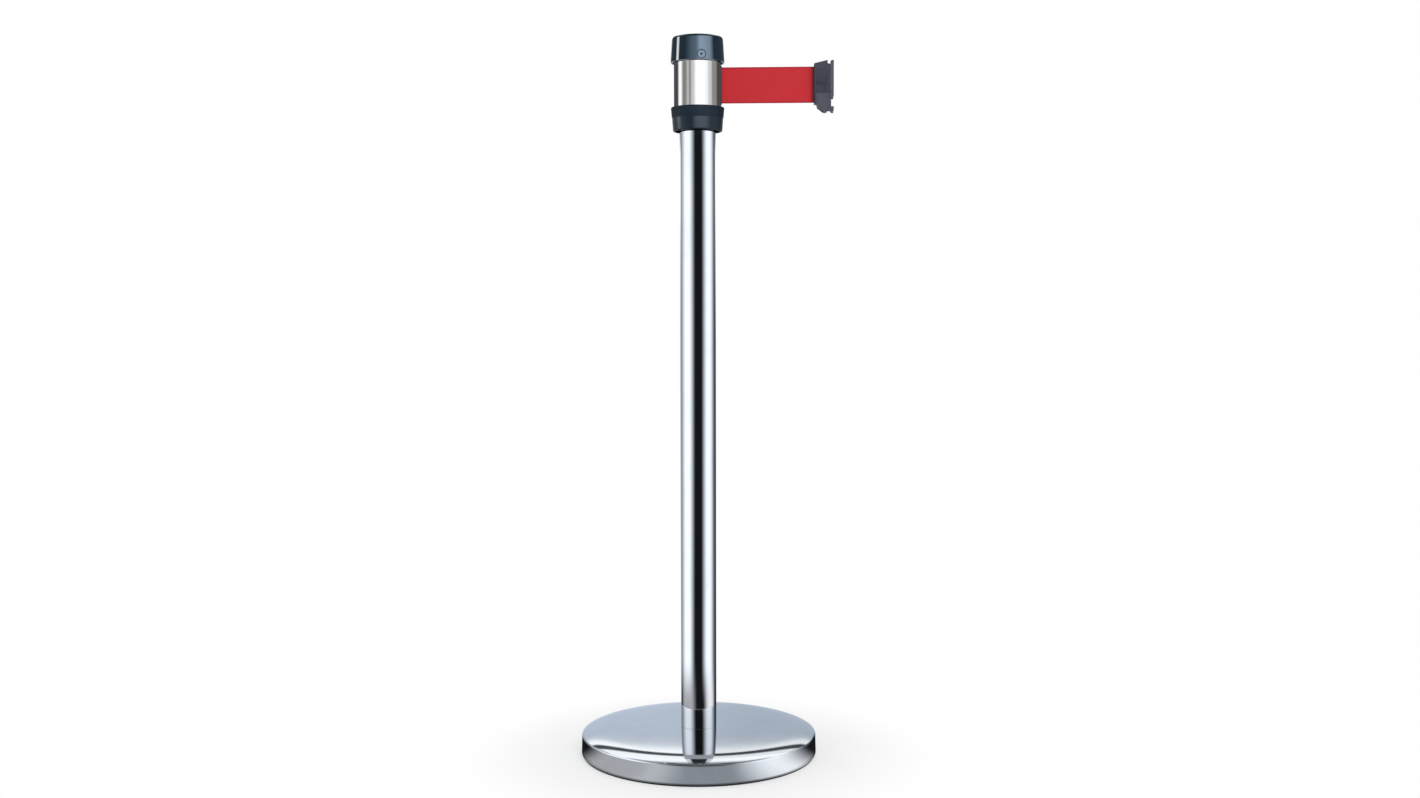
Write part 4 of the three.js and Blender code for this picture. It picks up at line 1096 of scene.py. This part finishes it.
class StanchionSleeve(bpy.types.Operator):
    """Makes the polished head sleeve with its slot, and the bezel that lines the slot"""

    bl_idname = "stanchion.sleeve"
    bl_label = "Sleeve and bezel"

    def execute(self, context):
        self.sleeve()
        self.bezel()
        return {"FINISHED"}

    def sleeve(self):
        """A tube whose first stretch of wall, between its middle levels, is left open for the bezel."""
        low, high = box_mm("head_sleeve")
        frame_low, frame_high = box_mm("outlet_bezel")
        outer, wall, gap = radius_mm("head_sleeve"), 1.0, 0.25
        half = math.asin((frame_high.y + gap) / outer)
        n = facets() + 1
        angles = [-half, half] + [half + (2 * math.pi - 2 * half) * k / (n - 1) for k in range(1, n - 1)]
        levels = [low.z, frame_low.z - gap, frame_high.z + gap, high.z]
        skins = (outer, outer - wall)
        points = [(r * math.cos(a), r * math.sin(a), z) for r in skins for z in levels for a in angles]

        def face(*corners):
            """A face through corners, each (skin, level, angle) by number."""
            return [(skin * len(levels) + level) * n + k % n for skin, level, k in corners]

        faces = []
        for k in range(n):
            for level in (0, 1, 2) if k else (0, 2):
                for skin in (0, 1):
                    lower, upper = (skin, level, k), (skin, level + 1, k)
                    faces.append(face(lower, (skin, level, k + 1), (skin, level + 1, k + 1), upper))
            for level in (0, 3) if k else (0, 1, 2, 3):
                faces.append(face((0, level, k), (0, level, k + 1), (1, level, k + 1), (1, level, k)))
        for k in (0, 1):
            faces.append(face((0, 1, k), (0, 2, k), (1, 2, k), (1, 1, k)))
        piece = new_piece("head_sleeve_steel", points, faces)
        fitted(piece, "Sleeve steel", "head_sleeve", HEAD)

    def bezel(self):
        """A rounded frame with a slot for the belt, as loops run out, over the lip and back in."""
        low, high = box_mm("outlet_bezel")
        middle = (high.z + low.z) / 2
        outer = (high.y, (high.z - low.z) / 2)
        mouth = (1.3, outer[1] - 0.8)

        def loop(half, out, corner, x):
            """A rounded rectangle, its half size let out by a little."""
            reach_y, reach_z = half[0] + out - corner, half[1] + out - corner
            made = []
            for y, z, first in ((1, 1, 0), (-1, 1, 90), (-1, -1, 180), (1, -1, 270)):
                made += arc((y * reach_y, middle + z * reach_z), corner, first, first + 90, 6)
            return [(x, y, z) for y, z in made]

        loops = [
            loop(outer, 0.0, 1.4, low.x),
            loop(outer, 0.0, 1.4, high.x - 0.35),
            loop(outer, -0.12, 1.3, high.x - 0.1),
            loop(outer, -0.4, 1.1, high.x),
            loop(mouth, 0.5, 1.3, high.x),
            loop(mouth, 0.12, 1.2, high.x - 0.25),
            loop(mouth, 0.0, 1.1, high.x - 0.8),
            loop(mouth, 0.0, 1.1, low.x),
        ]
        piece = skinned("outlet_bezel_moulding", loops, 50, ring=True)
        fitted(piece, "Cassette satin", "outlet_bezel", HEAD)


class StanchionCollar(bpy.types.Operator):
    """Makes the satin black collar with its stepped band and open cup rim, and its two lamps"""

    bl_idname = "stanchion.collar"
    bl_label = "Collar"

    def execute(self, context):
        low, high = box_mm("collar")
        foot, rim = low.z, high.z
        outer, post, sleeve = radius_mm("collar"), radius_mm("post_tube"), radius_mm("head_sleeve")
        band_foot, cup = outer - 2.6, sleeve + 2.15
        skirt, bore, seat = band_foot - 2.6, post + 0.3, sleeve + 0.25
        floor, cup_floor = foot + 9.0, rim - 13.5
        profile = [(bore, floor), (bore, foot + 6.0), (skirt, foot + 6.0), (skirt, foot)]
        profile += arc((band_foot - 1.7, foot + 1.7), 1.7, -90, 0, 6)
        profile += [(band_foot + 1.0, foot + 17.6), (band_foot + 1.5, foot + 18.2), (outer - 0.05, rim - 1.8)]
        profile += arc((outer - 0.9, rim - 0.9), 0.9, 10, 90, 5)
        profile += [(cup + 0.4, rim), (cup, rim - 0.5), (cup, cup_floor), (seat, cup_floor), (seat, floor)]
        piece = turned("collar_moulding", corner_rounded(profile, edge_mm()), facets())
        fitted(piece, "Collar satin", "collar", HEAD)
        self.lamps(piece, context.scene.stanchion_studio)
        return {"FINISHED"}

    def lamps(self, piece, studio):
        """Two small cool lamps that light the collar alone."""
        receiver = bpy.data.collections.new("Collar lamps' piece")
        receiver.objects.link(piece)
        away, height, aim, cool = 0.45, 0.88, (0.0, 0.0, 0.86), (0.78, 0.92, 1.0)
        for name, azimuth, size, power in (
            ("Collar front lamp", 15.0, (0.52, 0.10), studio.collar_front),
            ("Collar left lamp", -93.0, (0.06, 0.10), studio.collar_left),
        ):
            lamp = area_lamp(name, azimuth, away, height, size, power, aim, cool)
            lamp.light_linking.receiver_collection = receiver


class StanchionCap(bpy.types.Operator):
    """Makes the glossy cap with the round recess of its grub screw"""

    bl_idname = "stanchion.cap"
    bl_label = "Cap"

    # How far the skirt leans in to the brim, and the height of the rounded brim
    LEAN = 1.6
    BRIM = 3.6

    def execute(self, context):
        low, high = box_mm("cap")
        foot, top, outer = low.z, high.z, radius_mm("cap")
        sleeve, plate = radius_mm("head_sleeve"), box_mm("top_plate")[1].z
        brim = outer - self.LEAN
        wall, spigot, seat = brim - 2.4, sleeve - 2.75, sleeve + 0.25
        under, ledge, ceiling, skirt = top - 3.0, plate + 2.55, plate + 0.05, foot + 6.2
        crown = bend((brim, top - self.BRIM), (brim - 0.1, top - 0.1), (brim - 2.6, top), 12)
        inside = [(wall, under), (wall, ledge), (spigot, ledge), (spigot, ceiling), (seat, ceiling)]
        inside += [(seat, skirt), (outer - 2.0, skirt), (outer - 2.0, foot), (outer, foot), crown[0]]
        inside = corner_rounded(inside, edge_mm(), closed=False)[:-1]
        profile = [(0.0, under), *inside, *crown, (brim * 0.6, top), (0.0, top)]
        piece = turned("cap_moulding", profile, facets())
        slope = Vector((top - self.BRIM - foot, self.LEAN)).normalized()
        self.recess(piece, outer, math.atan2(slope.y, slope.x))
        shaded(piece, 30)
        self.true_wall(piece, slope, foot, top)
        fitted(piece, "Cap gloss", "cap", HEAD)
        return {"FINISHED"}

    def recess(self, piece, outer, lean):
        """Cuts the shallow round mark, its floor leaning as the skirt does, and the screw's hole."""
        middle = middle_mm("cap_set_screw")
        mark_height, skirt, deep, clear_out = 7.0, 31.0, 0.8, 2.0
        floor = outer - self.LEAN * mark_height / skirt - deep
        upright = Matrix.Rotation(math.pi / 2, 4, "Y")
        hinge = Matrix.Translation((floor * MM, 0, 0))
        leaned = hinge @ Matrix.Rotation(-lean, 4, "Y") @ hinge.inverted()
        heading = Matrix.Rotation(math.atan2(middle.y, middle.x), 4, "Z")
        placed = Matrix.Translation((0, 0, middle.z * MM)) @ heading
        groove = turned("groove", [(5.1, 0.05), (5.6, -0.7), (6.1, 0.05), (6.1, 3.0), (5.1, 3.0)], 64)
        groove.data.transform(placed @ leaned @ hinge @ upright)
        mark_radius, hole_radius, hole_end = 6.0, 1.65, 30.0
        mark = extruded("mark", circle((0, 0), mark_radius, 64), floor, outer + clear_out, plan=True)
        mark.data.transform(placed @ leaned @ upright)
        hole = extruded("screw hole", circle((0, 0), hole_radius), hole_end, outer + clear_out, plan=True)
        hole.data.transform(placed @ upright)
        carved(piece, [groove, mark, hole])

    def true_wall(self, piece, slope, foot, top):
        """Keeps the skirt's shine even round the cut recess."""
        mesh = piece.data
        along_wall = math.cos(math.radians(3))
        normals = [tuple(corner.vector) for corner in mesh.corner_normals]

        def wall_normal(place):
            out = Vector((place.x, place.y)).normalized() * slope.x
            return Vector((out.x, out.y, slope.y))

        for face in mesh.polygons:
            centre = face.center
            on_wall = face.normal.dot(wall_normal(centre)) >= along_wall
            if not on_wall or not foot + 1.0 < centre.z / MM < top - 3.5:
                continue
            for corner in face.loop_indices:
                place = mesh.vertices[mesh.loops[corner].vertex_index].co
                if foot + 0.8 <= place.z / MM <= top - 3.7:
                    normals[corner] = tuple(wall_normal(place))
        mesh.normals_split_custom_set(normals)


class StanchionBeltPieces(bpy.types.Operator):
    """Makes the webbing: its free stretch, the part inside the head, the wound roll and the folded end"""

    bl_idname = "stanchion.belt"
    bl_label = "Belt"

    def execute(self, context):
        low, high = box_mm("belt_tape")
        thickness, steps = high.y - low.y, 60
        path = [(low.x + (high.x - low.x) * k / steps, 0.0) for k in range(steps + 1)]
        tape = strip("belt_webbing", path, thickness, low.z, high.z, 24)
        fitted(unmirrored(tape), "Belt webbing", "belt_tape")
        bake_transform(tape)
        self.lead(low, high, thickness)
        self.roll(low, high, thickness)
        self.end_loop(low, high, thickness)
        return {"FINISHED"}

    def lead(self, low, high, thickness):
        """Off the roll, round the guide roller and out."""
        clear = 0.3 + thickness / 2
        roller, axis = middle_mm("guide_roller").to_2d(), middle_mm("drum").to_2d()
        small, large = radius_mm("guide_roller") + clear, radius_mm("belt_roll") + clear
        across = roller - axis
        heading = math.atan2(across.y, across.x) + math.asin((large + small) / across.length)
        right = Vector((math.sin(heading), -math.cos(heading)))
        path = [tuple(axis + right * large)]
        path += arc(roller, small, math.degrees(heading) + 90, 90, 12)
        path.append((box_mm("belt_lead")[1].x, 0.0))
        piece = strip("belt_lead_webbing", path, thickness, low.z, high.z)
        fitted(piece, "Belt webbing", "belt_lead", HEAD)

    def roll(self, low, high, thickness):
        """The belt wound on the drum's hub, turn on turn."""
        axis, hub, full = middle_mm("drum"), 10.05, radius_mm("belt_roll")
        gap, per_turn, slack = 0.02, 40, 0.96
        growth = full - hub - thickness
        turns = growth / (thickness + gap)
        steps = int(turns * per_turn)
        path = []
        for k in range(steps + 1):
            angle = 2 * math.pi * turns * k / steps
            radius = hub + thickness / 2 + growth * k / steps
            path.append((axis.x + radius * math.cos(angle), axis.y + radius * math.sin(angle)))
        piece = strip("belt_roll_webbing", path, thickness * slack, low.z, high.z, 2)
        fitted(piece, "Wound webbing", "belt_roll", DRUM)

    def end_loop(self, low, high, thickness):
        """Round the pin in the clip and back on itself."""
        mouth, pin = box_mm("belt_end_loop")[0].x, middle_mm("belt_pin")
        radius = radius_mm("belt_pin") + 0.3 + thickness / 2
        path = [(mouth, 0.0), (mouth + 0.9, 0.0)]
        path += arc((pin.x, 0.0), radius, 125, -125, 20)
        path.append((mouth + 1.8, -thickness - 0.45))
        piece = strip("belt_end_webbing", path, thickness, low.z, high.z)
        unmirrored(fitted(piece, "Belt webbing", "belt_end_loop", CLIP))


class ClipShape:
    """Outlines that the clip's body and latch share, in millimetres from its belt edge, mid belt."""

    def __init__(self):
        low, high = box_mm("clip_body")
        self.place = Vector((low.x, 0.0, middle_mm("belt_tape").z))
        self.depth = high.x - low.x
        self.face_half = high.y
        self.inner = radius_mm("head_sleeve") + 0.3
        self.outer = self.inner + 1.9
        self.centre = self.depth + math.sqrt(self.inner**2 - self.face_half**2)

    def moved(self, piece):
        """Puts a piece made from these outlines in its place."""
        piece.data.transform(Matrix.Translation(self.place * MM))
        return piece

    def face_arc(self, radius, half_width):
        """The plate's curve in plan, from one side of the clip to the other."""
        half = math.degrees(math.asin(half_width / radius))
        return arc((self.centre, 0.0), radius, 180 + half, 180 - half, 24)

    def plate(self, name, inner, outer, low, high):
        """A curved plate as wide as the clip's face."""
        outline = self.face_arc(inner, self.face_half) + self.face_arc(outer, self.face_half)[::-1]
        return extruded(name, outline, low, high, plan=True)

    def before(self, radius, low, high):
        """The space in front of a curved face, for cutting back to it."""
        half = self.face_half + 1.0
        outline = self.face_arc(radius, half) + [(self.centre, half), (self.centre, -half)]
        return extruded("front", outline, low, high, plan=True)


class StanchionClip(bpy.types.Operator):
    """Makes the clip's moulded body with its curved front plate"""

    bl_idname = "stanchion.clip"
    bl_label = "Clip body"

    def execute(self, context):
        shape = ClipShape()
        top, foot, web, face = 27.0, 26.0, 24.3, 17.8
        heel, neck, tongue, rib_back, side = 11.5, 17.2, 18.0, 21.6, 9.0
        wide, tall, front, pin, spring = 14.0, 40.0, 30.0, (6.2, 0.0), (14.7, 0.0)
        recess_back, hollow_foot, belt_room = 3.0, -2.5, 1.72
        outline = [(0, -foot), (heel, -foot), (heel, -web), (neck, -web), (neck, -face)]
        outline += [(shape.depth, -face), (shape.depth, top)]
        outline += [(tongue, top), (tongue, top + 4.0), (17.3, top + 4.2), (0, top)]
        # Cut back to the plate, then the latch's recess, the hollow over it and the one behind the plate
        body = carved(
            extruded("clip_body_moulding", outline, -side, side),
            [
                shape.before(shape.outer - 0.95, -tall, tall),
                *both_sides(recess_back, front, 5.0, wide, -tall, -1.5),
                *both_sides(recess_back, 17.0, 7.8, wide, hollow_foot, 20.0),
                *both_sides(19.0, front, 6.5, wide, hollow_foot, 28.0),
            ],
        )
        plate = shape.plate("plate", shape.inner, shape.outer, -face, top + 3.8)
        ribs = both_sides(rib_back, shape.depth, 9.3, shape.face_half, -face, top)
        ribs = [carved(rib, [shape.before(shape.outer - 0.95, -tall, tall)]) for rib in ribs]
        carved(body, [], [plate, *ribs])
        softened(body, edge_mm())
        # The nubs' slots, the room for the belt's folded end, its pin and the spring, and the ramps
        carved(
            body,
            [
                *both_sides(12.0, 15.0, 3.7, wide, -15.5, -2.2),
                slab("mouth", (-1.0, -belt_room, -web), (4.0, belt_room, web)),
                extruded("chamber", circle(pin, 2.6), -web, web, plan=True),
                extruded("pin hole", circle(pin, 1.4), -28.0, 26.0, plan=True),
                extruded("spring hole", circle(spring, 2.2), -28.0, -9.3, plan=True),
                *(self.ramp(sign) for sign in (1, -1)),
            ],
        )
        unmirrored(fitted(shape.moved(evened(body)), "Clip satin", "clip_body", CLIP))
        return {"FINISHED"}

    def ramp(self, sign):
        """Slopes the upper end of the latch's recess out to the face over it."""
        inner, outer, foot, near, far = 5.05, 9.3, -2.1, 3.05, 19.02
        section = ((inner, foot), (outer, foot), (outer, 13.86), (inner, -1.32))
        tool = extruded("ramp", [(-z, sign * y) for y, z in section], near, far, plan=True)
        tool.data.transform(Matrix.Rotation(math.pi / 2, 4, "Y"))
        return tool


class StanchionLatch(bpy.types.Operator):
    """Makes the clip's sprung latch with its hook, and the spring behind it"""

    bl_idname = "stanchion.latch"
    bl_label = "Latch"

    def execute(self, context):
        shape = ClipShape()
        back, top, foot, hook_foot, hook_top, side = 3.3, -12.3, -34.2, -36.4, -30.2, 9.0
        web_half, bar_top, bar_half = 5.3, -34.9, 6.0
        lip = [(12.0, hook_foot), (15.6, -36.8), (17.4, -35.6)]
        outline = [(back, top), (back, -26.3), (4.2, -30.5), *lip, (17.8, foot), (shape.depth, foot)]
        outline.append((shape.depth, top))
        latch = carved(
            extruded("latch_moulding", corner_rounded(outline, 0.6), -side, side),
            [
                shape.before(shape.outer + 0.3, -40, 0),
                slab("web gap", (0.0, -web_half, -40.0), (30.0, web_half, 0.0)),
            ],
            [
                extruded("bar", [*lip, (17.4, bar_top), (12.0, bar_top)], -bar_half, bar_half),
                shape.plate("bridge", shape.outer - 0.475, shape.outer + 2.7, foot, hook_top),
                shape.plate("hook", shape.inner, shape.outer, hook_foot, hook_top),
            ],
        )
        softened(latch, edge_mm())
        # A round nub on each side slides in the body's slot
        nub, near, far = circle((13.5, -14.0), 1.2), 4.3, 5.6
        carved(latch, [], [extruded("nub", nub, *ends) for ends in ((near, far), (-far, -near))])
        unmirrored(fitted(shape.moved(evened(latch)), "Latch satin", "latch", LATCH))
        self.spring()
        return {"FINISHED"}

    def spring(self):
        """The coil behind the latch, with closed ends."""
        low, high = box_mm("latch_spring")
        wire, turns, per_turn, around = 0.25, 9, 24, 8
        closed = 2.2 * wire
        x, coil = middle_mm("latch_spring").x, radius_mm("latch_spring") - wire
        pitch = (high.z - low.z - 2 * wire - 2 * closed) / (turns - 2)
        line = []
        for k in range(turns * per_turn + 1):
            turn = k / per_turn
            shut = min(turn, 1.0) + max(turn - turns + 1, 0.0)
            angle = 2 * math.pi * turn
            height = low.z + wire + shut * closed + (turn - shut) * pitch
            line.append(Vector((x + coil * math.cos(angle), coil * math.sin(angle), height)))
        loops = []
        for here, along in course(line):
            out = Vector((here.x - x, here.y, 0.0)).normalized()
            up = out.cross(along).normalized()
            loops.append([tuple(here + out * a + up * b) for a, b in circle((0.0, 0.0), wire, around)])
        piece = unmirrored(skinned("latch_spring_coil", loops, 60))
        fitted(piece, "Spring steel", "latch_spring")
        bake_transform(piece)


class StanchionInside(bpy.types.Operator):
    """Makes the brake felt and finishes the carried-over solids, from the weight to the pins"""

    bl_idname = "stanchion.inside"
    bl_label = "Inside pieces"

    def execute(self, context):
        self.felt_ring()
        finishes = {
            "Painted iron": ["base_weight"],
            "Cast plug": ["head_plug"],
            "Cassette satin": ["cassette_housing", "cassette_lid"],
            "Nylon": ["drum", "guide_roller", "thrust_washer"],
            "Spring steel": ["base_spring_washer", "power_spring", "drag_spring"],
            "Plain steel": [
                "base_bolt", "base_washer", "post_foot_plug", "plug_screw_1", "plug_screw_2",
                "plug_screw_3", "top_plate", "spindle", "spindle_nut", "spring_cover", "drag_plate",
                "guide_roller_pin", "belt_pin",
            ],
            "Black screw": ["cap_set_screw"],
        }
        for finish, names in finishes.items():
            for name in names:
                mesh = nodes[name].data
                mesh.materials.clear()
                mesh.materials.append(finish_of(finish))
        unmirrored(nodes["belt_pin"])
        return {"FINISHED"}

    def felt_ring(self):
        """The brake's felt, with a small gap round the spindle and all its edges rounded."""
        low, high = box_mm("drag_felt")
        middle, outer = middle_mm("drag_felt"), radius_mm("drag_felt")
        spindle, gap = 4.0, 0.25
        inner = spindle + gap
        profile = bend((inner + 0.5, low.z), (inner, low.z), (inner, low.z + 0.5), 3)
        profile += bend((inner, high.z - 0.5), (inner, high.z), (inner + 0.5, high.z), 3)
        profile += bend((outer - 0.6, high.z), (outer, high.z), (outer, high.z - 0.6), 4)
        profile += bend((outer, low.z + 0.6), (outer, low.z), (outer - 0.6, low.z), 4)
        piece = turned("brake_felt_ring", profile, 64, (middle.x, middle.y))
        fitted(piece, "Brake felt", "drag_felt", HEAD)


PIECES = (
    StanchionBase,
    StanchionPost,
    StanchionSleeve,
    StanchionCollar,
    StanchionCap,
    StanchionBeltPieces,
    StanchionClip,
    StanchionLatch,
    StanchionInside,
)


class StanchionPanel(bpy.types.Panel):
    """Lists the stanchion's pieces and settings"""

    bl_idname = "VIEW3D_PT_stanchion"
    bl_label = "Stanchion"
    bl_space_type = "VIEW_3D"
    bl_region_type = "UI"
    bl_category = "Stanchion"

    def draw(self, context):
        layout = self.layout
        for operator in (StanchionStage, *PIECES):
            layout.operator(operator.bl_idname)
        for settings in SETTINGS:
            group = getattr(context.scene, f"stanchion_{settings}")
            column = layout.box().column()
            for name in group.__annotations__:
                column.prop(group, name)


SETTINGS = {
    "metal": StanchionMetal,
    "plastic": StanchionPlastic,
    "belt": StanchionBelt,
    "shape": StanchionShape,
    "studio": StanchionStudio,
}
CLASSES = (*SETTINGS.values(), StanchionStage, *PIECES, StanchionPanel)


def register():
    for cls in CLASSES:
        bpy.utils.register_class(cls)
    for name, group in SETTINGS.items():
        setattr(bpy.types.Scene, f"stanchion_{name}", PointerProperty(type=group))


def unregister():
    for name in SETTINGS:
        delattr(bpy.types.Scene, f"stanchion_{name}")
    for cls in reversed(CLASSES):
        bpy.utils.unregister_class(cls)


def main():
    register()
    bpy.ops.stanchion.stage()
    bpy.ops.stanchion.base()
    bpy.ops.stanchion.post()
    bpy.ops.stanchion.sleeve()
    bpy.ops.stanchion.collar()
    bpy.ops.stanchion.cap()
    bpy.ops.stanchion.belt()
    bpy.ops.stanchion.clip()
    bpy.ops.stanchion.latch()
    bpy.ops.stanchion.inside()


if __name__ == "__main__":
    main()
